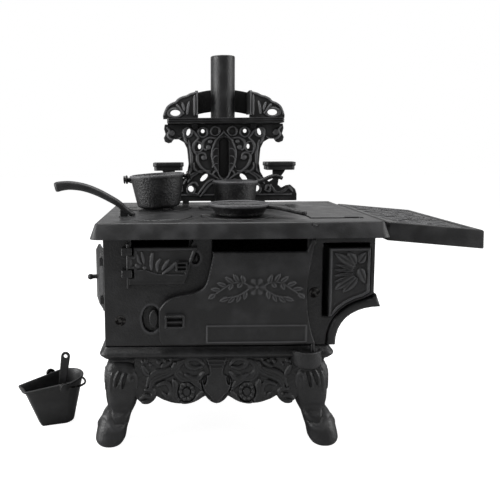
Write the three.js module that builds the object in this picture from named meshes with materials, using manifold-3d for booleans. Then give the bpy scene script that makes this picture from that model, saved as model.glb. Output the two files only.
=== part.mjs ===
// Cast iron toy kitchen range with its loose cookware and coal hod, in millimetres, Z up.
// The plan origin is the centre of the cook top while the pieces are built.
import * as THREE from 'three';
import { mergeVertices } from 'three/addons/utils/BufferGeometryUtils.js';
import Module from 'manifold-3d';

const wasm = await Module();
wasm.setup();

// Fits shared by all pieces
const seatGap = 0.3;
const runningGap = 0.4;
const cutOverrun = 1;
const weldDistance = 0.0005;
const roundSteps = 26;
const smallRoundSteps = 9;
const coarseSteps = 4;
const cornerSteps = 3;
const reliefSides = 3;
const wireSides = 6;

// Cook top
const topWidth = 209;
const topDepth = 158;
const topHeight = 169.4;
const topThickness = 3.4;
const topCornerRadius = 2.5;
const apronHeight = 11.6;
const apronFlare = 4;
const apronWall = 2.6;
const topEdgeRound = 0.8;
const hingeBossDrop = 1;

// Body panels
const bodyInset = 5;
const panelWall = 3;
const endWall = 7;
const endProud = 1.6;
const endFootReach = 5.2;
const endLipReach = 5.2;
const endLipRise = 28.8;
const endOverhang = 33;
const endLipThickness = 9.5;
const endLipChamfer = 3.4;

// Base frame
const baseTop = 76;
const bandHeight = 13.5;
const baseWall = 6.5;
const mouldingReach = 4.4;
const skirtInset = 1;
const skirtWall = 2.6;
const skirtDrop = 31.5;
const skirtCuspRise = 6;
const reliefRadius = 1.3;
const cartoucheWidth = 21;
const cartoucheProud = 1.6;
const rosetteRadius = 5.4;
const rosetteProud = 1.8;

// Legs
const legInset = 12;
const kneeWidth = 27;
const legSplay = 10;
const legPegRadius = 3;
const legPegLength = 2.6;
const legPadThickness = 3;

// Hinge cup of the oven door
const cupRadius = 11.5;
const cupWall = 2.4;
const cupHeight = 14;
const cupDepth = 9.5;
const cupDrop = 2;
const cupFromHinge = 4.1;

// Oven door
const ovenDoorFromLeft = 40.5;
const ovenDoorFromApron = 9.8;
const ovenDoorThickness = 2.6;
const ovenDoorStandOff = 3.4;
const ovenDoorBottomRise = 3;
const ovenRimWall = 2.2;
const ovenWaist = 5.6;
const hingePinRadius = 1.4;
const hingePinLength = 5;
const ovenHingeFromRight = 45.5;
const ornamentProud = 0.9;
const stripWidth = 74;
const stripHeight = 14;

// Firebox door
const fireDoorFromOven = 10.8;
const fireDoorShare = 0.4;
const fireDoorSlope = 9.7;
const fireDoorThickness = 2.4;
const fireDoorFromApron = 6.4;
const fireDoorFromLeft = 20;
const hingeRodRadius = 1.3;
const hingeRodOverrun = 3;
const lugWidth = 7.6;
const lugHeight = 5.6;
const lugWall = 1.3;
const fireLoopWidth = 9;
const fireLoopHeight = 7.8;
const fireLoopFromRight = 16;
const fireLoopRise = 9.6;
const ovenLoopWidth = 14.5;
const ovenLoopHeight = 10;
const ovenLoopInset = 4.4;
const ovenLoopRise = 13.4;
const loopReach = 4;
const loopBar = 1.6;
const loopFloor = 0.6;

// Side door
const sideDoorWidth = 34;
const sideDoorHeight = 46.4;
const sideDoorThickness = 1.8;
const sideFieldProud = 2.4;
const sideFieldSlope = 3.8;
const sideDoorFromApron = 11.8;
const sideDoorFromFront = 15;
const sideDoorAjarDegrees = 13;
const knobRadius = 2.4;
const knobStemRadius = 1.8;
const knobReach = 8;
const knobSides = 12;

// Door catches and screws
const ovenPocketHalf = [6.8, 10.2];
const ovenCatchHalf = [3.6, 7];
const firePocketHalf = [3.2, 4.6];
const fireCatchHalf = [1.4, 2.6];
const catchProud = 1.4;
const screwFromLeft = 11.8;
const screwFromHinge = 1.5;
const screwRiseShares = [0.25, 0.54];
const screwHeadRadius = 4.5;
const screwHeadThickness = 2;
const screwShankRadius = 1.6;
const screwHeadSides = 16;
const nutSides = 6;
const nutAcross = 7;
const nutThickness = 2.6;
const crossSlotWidth = 1.1;
const crossSlotDepth = 1;

// Lids
const lidMarginLeft = 14;
const lidMarginRight = 25;
const lidMarginFront = 12.5;
const lidMarginBack = 26.5;
const lidGapAcross = 7;
const lidGapBack = 5;
const lidRimThickness = 2;
const lidRise = 0.6;
const lidLedge = 3;
const lidPlugDepth = 1.2;
const lidNotchWidth = 7;
const lidNotchLength = 9;
const longLidWidth = 40;
const longLidMargin = 9;
const longLidMarginFront = 21;
const longLidMarginBack = 29;
const longLidNotchWidth = 11;
const longLidNotchDepth = 3;
const longLidCorner = 1.2;

// Inner parts
const floorThickness = 2.4;
const grateRise = 42.7;
const grateWidth = 62;
const grateWall = 2.4;
const grateSlotWidth = 4;
const grateSlotCount = 6;
const tankWall = 2.2;
const tankFromApron = 8;
const tankWidth = 30;
const tankFromRight = 4;
const tankProud = 1.4;
const tankGapAbove = 3.2;
const tankGapLeft = 3.6;

// Backsplash, warming shelf and crest
const backCentreX = -1.8;
const splashWall = 2.6;
const splashFromBack = 25.5;
const splashFootHeight = 3.2;
const splashRise = 75;
const splashBaseWidth = 138;
const splashStripHeight = 6.4;
const flueSlotWidth = 9.8;
const splashPegWidth = 6;
const shelfWidth = 105;
const shelfDepth = 27;
const shelfThickness = 4.6;
const crestWidth = 113;
const crestHeight = 26;
const crestArchWidth = 53;
const crestWall = 2.6;
const teapotShelfWidth = 28.5;
const teapotShelfDepth = 24;
const teapotShelfThickness = 7.4;
const teapotShelfRise = 32.5;
const teapotShelfOffset = 52;
const teapotPostWidth = 12;

// Flue pipe
const flueRadius = 11.5;
const flueWall = 2;
const flueLength = 138.8;
const flueHoleRadius = 6.6;
const collarHeight = 3;
const collarWall = 1.8;

// Side shelf
const sideShelfWidth = 72;
const sideShelfDepth = 142;
const sideShelfThickness = 3;
const sideShelfApron = 13.6;
const sideShelfDroopDegrees = 5.5;
const sideShelfEdge = 3.6;
const sideShelfRise = 3.6;
const tongueWidth = 14;
const tongueThickness = 2.2;
const tongueReach = 4.7;
const tongueDrop = 0.1;
const tonguePlaceShare = 0.3;
const shelfAxisOut = 1.7;
const shelfAxisDrop = 4.9;

// Bowls
const potWall = 1.7;
const roundCutShare = 0.29;
const footRound = 3.4;

// Bail pot
const potFromLid = [0.7, -12];
const potRimRadius = 23.8;
const potBaseRadius = 19.2;
const potHeight = 29;
const potFootRound = 5.5;
const potGateReachShare = 1.4;
const potBailShare = 1.15;
const potLeanDegrees = 3.5;
const earReach = 5.4;
const earRadius = 3.4;
const bailWireRadius = 0.9;
const bailDropDegrees = 14;

// Saucepan
const sauceFromLid = [4, 0];
const sauceRimRadius = 20.2;
const sauceBaseRadius = 17.6;
const sauceHeight = 23.2;
const sauceHandleLength = 22.4;
const sauceHandleRise = 5.6;

// Skillet
const skilletFromLid = [1.4, -3];
const skilletRimRadius = 24;
const skilletBaseRadius = 19.8;
const skilletHeight = 9.6;
const skilletHandleLength = 29;
const skilletHandleDrop = 4.6;
const skilletHandleTurnDegrees = -26;
const handleWidth = 8;
const handleThickness = 3.5;

// Lid lifter
const lifterReach = 63;
const lifterRise = 23.2;
const lifterWidth = 8.4;
const lifterThickness = 4.4;
const lifterToeThickness = 1.6;
const lifterEndGain = 4;
const lifterLugDepth = 0.5;
const lifterToeFromNotch = 3.4;
const lifterLugWidth = 5.6;

// Coal hod and shovel
const hodFromBody = 46.5;
const hodY = -34.6;
const hodTurnDegrees = 30;
const hodHeight = 38;
const hodSpoutDrop = 5;
const hodBaseLength = 28;
const hodBaseWidth = 19;
const hodRimLength = 51;
const hodRimWidth = 31;
const hodSpoutWidth = 17;
const hodRimOffset = -3;
const hodWall = 1.4;
const hodEarDrop = 4;
const hodBailDropDegrees = 9;
const shovelLength = 56.2;
const shovelHandleWidth = 7.4;
const shovelBladeWidth = 14;
const shovelBladeLength = 17;
const shovelFlangeLength = 13.6;
const shovelNeckWidth = 5.2;
const shovelThickness = 1.8;
const shovelLeanDegrees = 8;

// Places that several pieces share
const bodyLeft = -topWidth / 2 + bodyInset;
const bodyRight = topWidth / 2 - bodyInset;
const bodyFront = -topDepth / 2 + bodyInset;
const bodyBack = topDepth / 2 - bodyInset;
const plateUnderside = topHeight - topThickness;
const apronBottom = topHeight - apronHeight;
const bodyTop = plateUnderside - seatGap;
const bodyBottom = baseTop + seatGap;
const baseLeft = bodyLeft;
const baseRight = bodyRight - endOverhang;
const baseCentreX = (baseLeft + baseRight) / 2;
const bandBottom = baseTop - bandHeight;
const legHeight = bandBottom - seatGap;
const legOffsetX = (baseRight - baseLeft) / 2 - legInset;
const legOffsetY = bodyBack - legInset;
const endLipHeight = bodyBottom + endLipRise;

const ovenHingeX = bodyRight - ovenHingeFromRight;
const ovenDoorWidth = ovenHingeX - bodyLeft - ovenDoorFromLeft;
const ovenDoorBack = bodyFront - ovenDoorStandOff;
const ovenDoorFront = ovenDoorBack - ovenDoorThickness;
const ovenHingeY = ovenDoorBack;
const ovenDoorBottom = baseTop + ovenDoorBottomRise;
const ovenDoorTop = apronBottom - ovenDoorFromApron;
const ovenDoorHeight = ovenDoorTop - ovenDoorBottom;

// Left edge of the oven door, as shares of its width from the hinge and of its height, going up.
const ovenEdgeShares = [
  [1, 0.06], [1, 0.35], [0.985, 0.42], [0.95, 0.48], [0.9, 0.52], [0.82, 0.545], [0.75, 0.575],
  [0.71, 0.62], [0.69, 0.68], [0.675, 0.77], [0.652, 0.94], [0.652, 1],
];

const fireDoorLeft = bodyLeft + fireDoorFromLeft;
const fireDoorRight = ovenHingeX - ovenDoorWidth * ovenEdgeShares.at(-1)[0] - fireDoorFromOven;
const fireDoorWidth = fireDoorRight - fireDoorLeft;
const fireDoorTop = apronBottom - fireDoorFromApron;
const fireDoorHeight = ovenDoorHeight * fireDoorShare;
const fireDoorBottom = fireDoorTop - fireDoorHeight;
const fireRodX = fireDoorLeft - hingeRodRadius - seatGap;
const fireRodY = bodyFront - hingeRodRadius - runningGap;
const sideHingeY = bodyFront + sideDoorFromFront;
const sideHingeX = bodyLeft - hingeRodRadius - runningGap;
const sideDoorTop = apronBottom - sideDoorFromApron;
const sideDoorBottom = sideDoorTop - sideDoorHeight;
const grateHeight = bodyBottom + grateRise;
const tankTop = apronBottom - tankFromApron;

const lidsRoom = topWidth - lidMarginLeft - lidMarginRight - longLidWidth - longLidMargin;
const lidPitchAcross = (lidsRoom + lidGapAcross) / 2;
const lidPitchBack = (topDepth - lidMarginFront - lidMarginBack + lidGapBack) / 2;
const lidDiameter = Math.min(lidPitchAcross - lidGapAcross, lidPitchBack - lidGapBack);
const lidsCentreX = -topWidth / 2 + lidMarginLeft + lidPitchAcross - lidGapAcross / 2;
const lidsCentreY = -topDepth / 2 + lidMarginFront + lidPitchBack - lidGapBack / 2;
const longLidDepth = topDepth - longLidMarginFront - longLidMarginBack;
const longLidCentreX = topWidth / 2 - longLidMargin - longLidWidth / 2;
const longLidCentreY = (longLidMarginFront - longLidMarginBack) / 2;

const splashFront = topDepth / 2 - splashFromBack;
const splashBack = splashFront + splashWall;
const splashBottom = topHeight + splashFootHeight;
const splashTop = topHeight + splashRise;
const flueX = backCentreX;
const flueY = splashBack + seatGap * 2 + flueRadius;
const flueTop = topHeight + flueLength;
const shelfBottom = splashTop + seatGap;
const shelfTop = shelfBottom + shelfThickness;
const teapotShelfHeight = topHeight + teapotShelfRise;
const shelfAxisX = topWidth / 2 + shelfAxisOut;
const shelfAxisZ = topHeight - shelfAxisDrop;
const hodX = bodyLeft - hodFromBody;

// Turns a three.js geometry into a solid, with its shared corners merged and its faces outwards.
function solid(geometry) {
  const bare = geometry.clone();
  bare.deleteAttribute('normal');
  bare.deleteAttribute('uv');
  const merged = mergeVertices(bare, weldDistance);
  const corners = merged.index.array;
  const kept = [];
  for (let i = 0; i < corners.length; i += 3) {
    const [a, b, c] = [corners[i], corners[i + 1], corners[i + 2]];
    if (a !== b && b !== c && c !== a) kept.push(a, b, c);
  }
  const vertProperties = new Float32Array(merged.attributes.position.array);
  const make = (triangles) => new wasm.Manifold(
    new wasm.Mesh({ numProp: 3, vertProperties, triVerts: Uint32Array.from(triangles) }),
  );
  const first = make(kept);
  return first.volume() > 0 ? first : make(kept.reverse());
}

function joined(...solids) {
  return solids.reduce((sum, next) => sum.add(next));
}

// Turns a solid back into a geometry for a mesh.
function geometryOf(body) {
  const { vertProperties, triVerts } = body.getMesh();
  const geometry = new THREE.BufferGeometry();
  geometry.setAttribute('position', new THREE.BufferAttribute(vertProperties, 3));
  geometry.setIndex(new THREE.BufferAttribute(triVerts, 1));
  geometry.computeVertexNormals();
  return geometry;
}

// A shape drawn in X and Z, thickened towards +Y from its front face.
function upright(shape, frontY, thickness, steps = smallRoundSteps) {
  const options = { depth: thickness, bevelEnabled: false, curveSegments: steps };
  const geometry = new THREE.ExtrudeGeometry(shape, options);
  return solid(geometry.rotateX(Math.PI / 2).translate(0, frontY + thickness, 0));
}

// A shape drawn in X and Y, thickened upwards from its lower face.
function level(shape, bottomZ, thickness, steps = smallRoundSteps) {
  const options = { depth: thickness, bevelEnabled: false, curveSegments: steps };
  const geometry = new THREE.ExtrudeGeometry(shape, options);
  return solid(geometry.translate(0, 0, bottomZ));
}

// A block between two corners.
function block(x0, x1, y0, y1, z0, z1) {
  const geometry = new THREE.BoxGeometry(x1 - x0, y1 - y0, z1 - z0);
  return solid(geometry.translate((x0 + x1) / 2, (y0 + y1) / 2, (z0 + z1) / 2));
}

// A profile of [radius, height] pairs turned about a vertical axis.
function turned(profile, x, y, steps = roundSteps) {
  const points = profile.map(([radius, height]) => new THREE.Vector2(radius, height));
  return solid(new THREE.LatheGeometry(points, steps).rotateX(Math.PI / 2).translate(x, y, 0));
}

// A round post with a vertical axis.
function post(x, y, radius, z0, z1, steps = smallRoundSteps) {
  return turned([[0, z0], [radius, z0], [radius, z1], [0, z1]], x, y, steps);
}

// A round bar with its axis along Y.
function barAlongY(x, z, radius, y0, y1, steps = smallRoundSteps) {
  const geometry = new THREE.CylinderGeometry(radius, radius, y1 - y0, steps);
  return solid(geometry.translate(x, (y0 + y1) / 2, z));
}

// Skins a row of equal rings and closes both ends with a fan.
function loft(rings) {
  const count = rings[0].length;
  const places = rings.flat().flatMap((p) => [p.x, p.y, p.z]);
  const index = [];
  for (let r = 0; r + 1 < rings.length; r += 1) {
    for (let i = 0; i < count; i += 1) {
      const a = r * count + i;
      const b = r * count + ((i + 1) % count);
      index.push(a, b, b + count, a, b + count, a + count);
    }
  }
  [rings[0], rings.at(-1)].forEach((ring, end) => {
    const centre = ring.reduce((sum, p) => sum.add(p), new THREE.Vector3()).divideScalar(count);
    const hub = places.length / 3;
    const start = end * (rings.length - 1) * count;
    places.push(centre.x, centre.y, centre.z);
    for (let i = 0; i < count; i += 1) {
      const pair = [start + i, start + ((i + 1) % count)];
      index.push(hub, ...(end ? pair : pair.reverse()));
    }
  });
  const geometry = new THREE.BufferGeometry();
  geometry.setAttribute('position', new THREE.Float32BufferAttribute(places, 3));
  geometry.setIndex(index);
  return solid(geometry);
}

// A level rectangle with round corners, as a ring of points.
function rectangleRing(x0, x1, y0, y1, radius, z) {
  const centres = [[x1 - radius, y1 - radius], [x0 + radius, y1 - radius],
    [x0 + radius, y0 + radius], [x1 - radius, y0 + radius]];
  return centres.flatMap(([cx, cy], corner) => Array.from({ length: cornerSteps + 1 }, (_, i) => {
    const turn = (corner + i / cornerSteps) * Math.PI / 2;
    return new THREE.Vector3(cx + radius * Math.cos(turn), cy + radius * Math.sin(turn), z);
  }));
}

// A flat bar bent in the X-Z plane: width and thickness follow the way along it.
function bentBar(path, widthAt, thicknessAt, steps, sides = 8) {
  const rings = Array.from({ length: steps + 1 }, (_, k) => {
    const t = k / steps;
    const place = path.getPoint(t);
    const tangent = path.getTangent(t);
    const lift = new THREE.Vector3(-tangent.z, 0, tangent.x);
    return Array.from({ length: sides }, (__, i) => {
      const turn = (i + 0.5) / sides * Math.PI * 2;
      const side = new THREE.Vector3(0, Math.cos(turn) * widthAt(t) / 2, 0);
      return place.clone().add(side).addScaledVector(lift, Math.sin(turn) * thicknessAt(t) / 2);
    });
  });
  return loft(rings);
}

// A round wire along a curve.
function wire(path, radius, steps, sides = 8) {
  const section = new THREE.Shape();
  section.absarc(0, 0, radius, 0, Math.PI * 2);
  const options = { steps, bevelEnabled: false, extrudePath: path, curveSegments: sides };
  return solid(new THREE.ExtrudeGeometry(section, options));
}

function shapeFrom(points) {
  return new THREE.Shape(points.map(([x, y]) => new THREE.Vector2(x, y)));
}

// Hollow curve under the right end, from its foot up to the lip.
const endFootX = baseRight + endFootReach;
const endLipX = bodyRight + endLipReach;
const endSpanX = endLipX - endFootX;
const endSpanZ = endLipHeight - bodyBottom;
const endFootFullShare = 0.72;
const endLipFullShare = 0.56;
const endCurve = new THREE.CubicBezierCurve(
  new THREE.Vector2(endFootX, bodyBottom),
  new THREE.Vector2(endFootX, bodyBottom + endSpanZ * endFootFullShare),
  new THREE.Vector2(endLipX - endSpanX * endLipFullShare, endLipHeight),
  new THREE.Vector2(endLipX, endLipHeight),
);

// Points of the hollow curve moved inwards by a distance, up to a limit in X.
function endCurvePoints(distance, limitX) {
  const steps = smallRoundSteps;
  return Array.from({ length: steps + 1 }, (_, i) => {
    const point = endCurve.getPoint(i / steps);
    const tangent = endCurve.getTangent(i / steps);
    return [point.x - tangent.y * distance, point.y + tangent.x * distance];
  }).filter(([x]) => x < limitX);
}

// Outline of the front and back panels inside the right end's bead.
function bodyOutline() {
  const inner = endCurvePoints(endWall + seatGap, bodyRight - panelWall);
  const lipTop = endLipHeight + endLipThickness + seatGap;
  return [[bodyLeft, bodyBottom], ...inner, [bodyRight, lipTop], [bodyRight, bodyTop], [bodyLeft, bodyTop]];
}

// Base frame: a moulded ring with leg pads, hanging skirts and the cup for the oven door's lower pin.
const mouldingShares = [[0.06, 0], [0.18, 0.12], [0.62, 0.3], [1, 0.44], [0.92, 0.57], [0.5, 0.78], [0.14, 1]];

function baseRing() {
  const rings = mouldingShares.map(([outShare, upShare]) => {
    const out = mouldingReach * outShare;
    return rectangleRing(baseLeft - out, baseRight + out, bodyFront - out, bodyBack + out,
      topCornerRadius + out, bandBottom + bandHeight * upShare);
  });
  const inside = block(baseLeft + baseWall, baseRight - baseWall, bodyFront + baseWall, bodyBack - baseWall,
    bandBottom - cutOverrun, baseTop + cutOverrun);
  return loft(rings).subtract(inside);
}

function legPlaces() {
  return [['front_left', -1, -1], ['front_right', 1, -1], ['rear_left', -1, 1], ['rear_right', 1, 1]]
    .map(([name, sideX, sideY]) => ({
      name, sideX, sideY, x: baseCentreX + sideX * legOffsetX, y: sideY * legOffsetY,
    }));
}

// A pad in each corner takes the peg of a leg.
function legPad({ x, y, sideX, sideY }) {
  const half = kneeWidth / 2;
  const innerX = x - sideX * half;
  const innerY = y - sideY * half;
  const outerX = x + sideX * (half - baseWall / 2);
  const outerY = y + sideY * (half - baseWall / 2);
  const pad = block(Math.min(innerX, outerX), Math.max(innerX, outerX), Math.min(innerY, outerY),
    Math.max(innerY, outerY), bandBottom, bandBottom + legPadThickness);
  return pad.subtract(post(x, y, legPegRadius + seatGap, bandBottom - cutOverrun, baseTop));
}

// Lower edge of a skirt in shares of its half length: cusps, lobes and a pointed drop in the middle.
const skirtCuspShares = [0.149, 0.79];

function skirtShape(halfLength) {
  const [inner, outer] = skirtCuspShares.map((share) => share * halfLength);
  const lobe = bandBottom - skirtDrop;
  const cusp = lobe + skirtCuspRise;
  const deep = 2 * lobe - cusp;
  const shape = new THREE.Shape();
  shape.moveTo(-halfLength, bandBottom + skirtWall);
  shape.lineTo(-halfLength, cusp);
  shape.quadraticCurveTo(-(halfLength + outer) / 2, deep, -outer, cusp);
  shape.quadraticCurveTo(-(inner + outer) / 2, deep, -inner, cusp);
  shape.quadraticCurveTo(0, deep, inner, cusp);
  shape.quadraticCurveTo((inner + outer) / 2, deep, outer, cusp);
  shape.quadraticCurveTo((halfLength + outer) / 2, deep, halfLength, cusp);
  shape.lineTo(halfLength, bandBottom + skirtWall);
  return shape;
}

// Scrolls of one half of a skirt, each a row of [share of half length, share of skirt height].
const skirtScrollShares = [
  [[0.2, 0.8], [0.36, 0.62], [0.6, 0.74], [0.76, 0.46], [0.62, 0.3]],
  [[0.94, 0.92], [0.84, 0.6], [0.9, 0.34], [0.78, 0.2]],
  [[0.18, 0.3], [0.28, 0.5], [0.42, 0.56]],
];
const rosettePlaceShares = [0.42, 0.24];

function skirtRelief(halfLength, faceY) {
  const place = ([along, up], side) => new THREE.Vector3(
    side * along * halfLength, faceY, bandBottom - skirtDrop + up * skirtDrop,
  );
  const pieces = [-1, 1].flatMap((side) => {
    const scrolls = skirtScrollShares.map((row) => {
      const path = new THREE.CatmullRomCurve3(row.map((share) => place(share, side)));
      return wire(path, reliefRadius, coarseSteps * 2, reliefSides);
    });
    const centre = place(rosettePlaceShares, side);
    const rosette = barAlongY(centre.x, centre.z, rosetteRadius, faceY - rosetteProud, faceY + skirtWall / 2);
    const dimple = barAlongY(centre.x, centre.z, rosetteRadius / 2, faceY - rosetteProud - cutOverrun,
      faceY - rosetteProud / 2, smallRoundSteps / 2);
    return [...scrolls, rosette.subtract(dimple)];
  });
  return joined(cartouche(faceY), ...pieces);
}

// Shield in the middle of a skirt, wide at its top and waisted.
const cartoucheShares = [[0.5, 0.98], [0.26, 0.6], [0.34, 0.36], [0.22, 0.06]];

function cartouche(faceY) {
  const bottom = bandBottom - skirtDrop + skirtCuspRise;
  const height = bandBottom - bottom;
  const half = cartoucheShares.map(([out, up]) => [out * cartoucheWidth, bottom + up * height]);
  const other = half.map(([x, z]) => [-x, z]).reverse();
  return upright(shapeFrom([...half, ...other]), faceY - cartoucheProud, cartoucheProud + skirtWall / 2);
}

function skirts() {
  const clear = kneeWidth / 2 + seatGap;
  const halfLong = legOffsetX - clear;
  const halfShort = legOffsetY - clear;
  const inset = skirtInset;
  const frontFace = bodyFront + inset;
  const front = upright(skirtShape(halfLong), frontFace, skirtWall, coarseSteps)
    .add(skirtRelief(halfLong, frontFace)).translate(baseCentreX, 0, 0);
  const back = upright(skirtShape(halfLong), bodyBack - inset - skirtWall, skirtWall, coarseSteps)
    .translate(baseCentreX, 0, 0);
  const side = upright(skirtShape(halfShort), -skirtWall / 2, skirtWall, coarseSteps).rotate([0, 0, 90]);
  const left = side.translate(baseLeft + inset + skirtWall / 2, 0, 0);
  const right = side.translate(baseRight - inset - skirtWall / 2, 0, 0);
  return joined(front, back, left, right);
}

// Half-round cup in front of the band, open at its top, with a socket for the pin.
const cupSocketFloor = baseTop - cupDrop - cupHeight + cupWall;

function hingeCup() {
  const top = baseTop - cupDrop;
  const bottom = top - cupHeight;
  const floor = top - cupDepth;
  const x = ovenHingeX - cupFromHinge;
  const outer = turned([[0, bottom], [cupRadius - cupWall, bottom], [cupRadius, bottom + cupWall],
    [cupRadius, top], [0, top]], x, bodyFront, roundSteps);
  const open = baseTop + cutOverrun;
  const behind = block(x - cupRadius, x + cupRadius, bodyFront - seatGap, bodyFront + cupRadius, floor, open);
  const pocket = post(x, bodyFront, cupRadius - cupWall, floor, open, roundSteps).subtract(behind);
  const socket = post(ovenHingeX, ovenHingeY, hingePinRadius + runningGap, cupSocketFloor, open);
  const legFront = -legOffsetY - kneeWidth / 2 - runningGap;
  const legRoom = block(x - cupRadius * 2, x + cupRadius * 2, legFront, 0, 0, bandBottom);
  return { outer: outer.subtract(legRoom), cuts: pocket.add(socket) };
}

function baseFrame() {
  const inside = block(baseLeft + baseWall, baseRight - baseWall, bodyFront + baseWall, bodyBack - baseWall,
    0, baseTop + cutOverrun);
  const cup = hingeCup();
  const outer = cup.outer.subtract(inside);
  const ring = joined(baseRing(), skirts(), outer).subtract(cup.cuts);
  return legPlaces().map(legPad).reduce((sum, pad) => sum.add(pad), ring);
}

// Cabriole leg: rings from the floor up, as [height, way out, width] in shares of the leg's sizes.
const legShares = [
  [0, 1, 0.56], [0.03, 1, 0.7], [0.06, 0.99, 0.78], [0.1, 0.94, 0.83], [0.2, 0.82, 0.83], [0.26, 0.7, 0.83],
  [0.31, 0.58, 0.81], [0.36, 0.46, 0.79], [0.41, 0.24, 0.76], [0.46, 0.13, 0.8], [0.53, 0.1, 0.88],
  [0.62, 0.04, 0.96], [0.72, 0, 1], [0.84, 0, 0.98], [0.93, 0, 0.9], [1, 0, 0.62],
];
const legSides = 12;
const legSquareness = 3.6;

function leg({ x, y, sideX, sideY }) {
  const rings = legShares.map(([upShare, outShare, widthShare]) => {
    const half = kneeWidth / 2 * widthShare;
    const centreX = x + sideX * legSplay * outShare;
    const centreY = y + sideY * legSplay * outShare;
    return Array.from({ length: legSides }, (_, i) => {
      const turn = (i + 0.5) / legSides * Math.PI * 2;
      const [c, s] = [Math.cos(turn), Math.sin(turn)];
      const reach = half / (Math.abs(c) ** legSquareness + Math.abs(s) ** legSquareness) ** (1 / legSquareness);
      return new THREE.Vector3(centreX + reach * c, centreY + reach * s, legHeight * upShare);
    });
  });
  const peg = post(x, y, legPegRadius, legHeight - cutOverrun, legHeight + seatGap + legPegLength);
  return loft(rings).add(peg);
}

// Body panels
const fireOpeningInset = 2.4;
const ovenOpeningInset = 4;
const openingTopDrop = 0.8;

function fireOpening() {
  const left = fireDoorLeft + seatGap * 2;
  const right = fireDoorLeft + fireDoorWidth - fireOpeningInset;
  const bottom = fireDoorBottom + fireOpeningInset;
  return shapeFrom([[left, bottom], [right - fireDoorSlope - fireOpeningInset, bottom],
    [right, apronBottom - openingTopDrop], [left, apronBottom - openingTopDrop]]);
}

function ovenOpening() {
  const left = ovenHingeX - ovenDoorWidth * ovenEdgeShares.at(-1)[0];
  const right = ovenHingeX - ovenOpeningInset;
  const bottom = ovenDoorBottom + ovenOpeningInset;
  return shapeFrom([[left, bottom], [right, bottom], [right, apronBottom - openingTopDrop],
    [left, apronBottom - openingTopDrop]]);
}

const tankLeft = bodyRight - tankFromRight - tankWidth;
const tankRight = bodyRight - tankFromRight;
const tankClear = endWall + panelWall;

// Outline of the tank: square at its top, with a floor that follows the hollow curve.
function tankOutline(growLeft, growTop, inset = 0) {
  const floor = endCurvePoints(tankClear + inset, tankRight - inset).filter(([x]) => x > tankLeft + inset);
  const left = tankLeft + inset - growLeft;
  return [[left, floor[0][1]], ...floor, [tankRight - inset, floor.at(-1)[1] + panelWall],
    [tankRight - inset, tankTop + growTop], [left, tankTop + growTop]];
}

function screwPlaces() {
  const rise = (share) => ovenDoorBottom + ovenDoorHeight * share;
  return [
    { name: 'left', x: bodyLeft + screwFromLeft, z: rise(screwRiseShares[0]) },
    { name: 'right', x: ovenHingeX + screwFromHinge, z: rise(screwRiseShares[1]) },
  ];
}

function screwBore({ x, z }) {
  const head = barAlongY(x, z, screwHeadRadius + runningGap, bodyFront - cutOverrun,
    bodyFront + screwHeadThickness + seatGap);
  return head.add(barAlongY(x, z, screwShankRadius + runningGap, bodyFront, bodyBack + cutOverrun));
}

// An upright oval between two depths.
function ovalAlongY([x, z], [halfWidth, halfHeight], y0, y1) {
  const shape = new THREE.Shape();
  shape.absellipse(x, z, halfWidth, halfHeight, 0, Math.PI * 2);
  return upright(shape, y0, y1 - y0);
}

// Pocket beside a door's free edge, and the nub in it that the edge comes to rest on.
function catchPocket(place, half) {
  return ovalAlongY(place, half, bodyFront - cutOverrun, bodyFront + panelWall / 2);
}

function catchNub([x, z], half) {
  return ovalAlongY([x + half[0] / 2, z], half, bodyFront - catchProud, bodyFront + panelWall);
}

// Lugs that hold an upright hinge rod in front of a panel whose face is at -Y.
const lugReach = hingeRodRadius + runningGap + lugWall;

function hingeLugs(x, y, faceY, heights) {
  return heights.map((z) => {
    const right = x + lugReach;
    const lug = block(right - lugWidth, right, y - lugReach, faceY + cutOverrun, z, z + lugHeight);
    return lug.subtract(post(x, y, hingeRodRadius + runningGap, z - cutOverrun, z + lugHeight + cutOverrun));
  });
}

// Room in a door's edge for the lugs, all round the rod.
function lugRoom(x, y, heights) {
  const radius = lugReach * Math.SQRT2 + runningGap;
  return joined(...heights.map((z) => post(x, y, radius, z - runningGap, z + lugHeight + runningGap)));
}

const fireLugHeights = [fireDoorBottom + lugHeight, fireDoorTop - lugHeight];
const ovenCatchRise = 0.265;
const fireCatchRise = 0.685;
const ovenCatch = [ovenHingeX - ovenDoorWidth - ovenPocketHalf[0] + cutOverrun,
  ovenDoorBottom + ovenDoorHeight * ovenCatchRise];
const fireCatch = [fireDoorLeft + fireDoorWidth - firePocketHalf[0] / 2,
  fireDoorBottom + fireDoorHeight * fireCatchRise];

function frontPanel() {
  const cutFront = bodyFront - cutOverrun;
  const cutDepth = panelWall + 2 * cutOverrun;
  const plate = upright(shapeFrom(bodyOutline()), bodyFront, panelWall);
  const openings = [fireOpening(), ovenOpening(), shapeFrom(tankOutline(tankGapLeft, tankGapAbove, -seatGap))];
  const cuts = [...openings.map((shape) => upright(shape, cutFront, cutDepth)), ...screwPlaces().map(screwBore),
    catchPocket(ovenCatch, ovenPocketHalf), catchPocket(fireCatch, firePocketHalf)];
  const cut = cuts.reduce((body, hole) => body.subtract(hole), plate);
  return joined(cut, catchNub(ovenCatch, ovenCatchHalf), catchNub(fireCatch, fireCatchHalf),
    ...hingeLugs(fireRodX, fireRodY, bodyFront, fireLugHeights));
}

function backPanel() {
  const plate = upright(shapeFrom(bodyOutline()), bodyBack - panelWall, panelWall);
  return screwPlaces().map(screwBore).reduce((body, bore) => body.subtract(bore), plate);
}

// The side panels stand between the front and back panels.
const sideFront = bodyFront + panelWall + seatGap;
const sideBack = bodyBack - panelWall - seatGap;
const sideLugHeights = [sideDoorBottom + lugHeight, sideDoorTop - lugHeight * 2];
const sideOpeningInset = 3;

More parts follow.
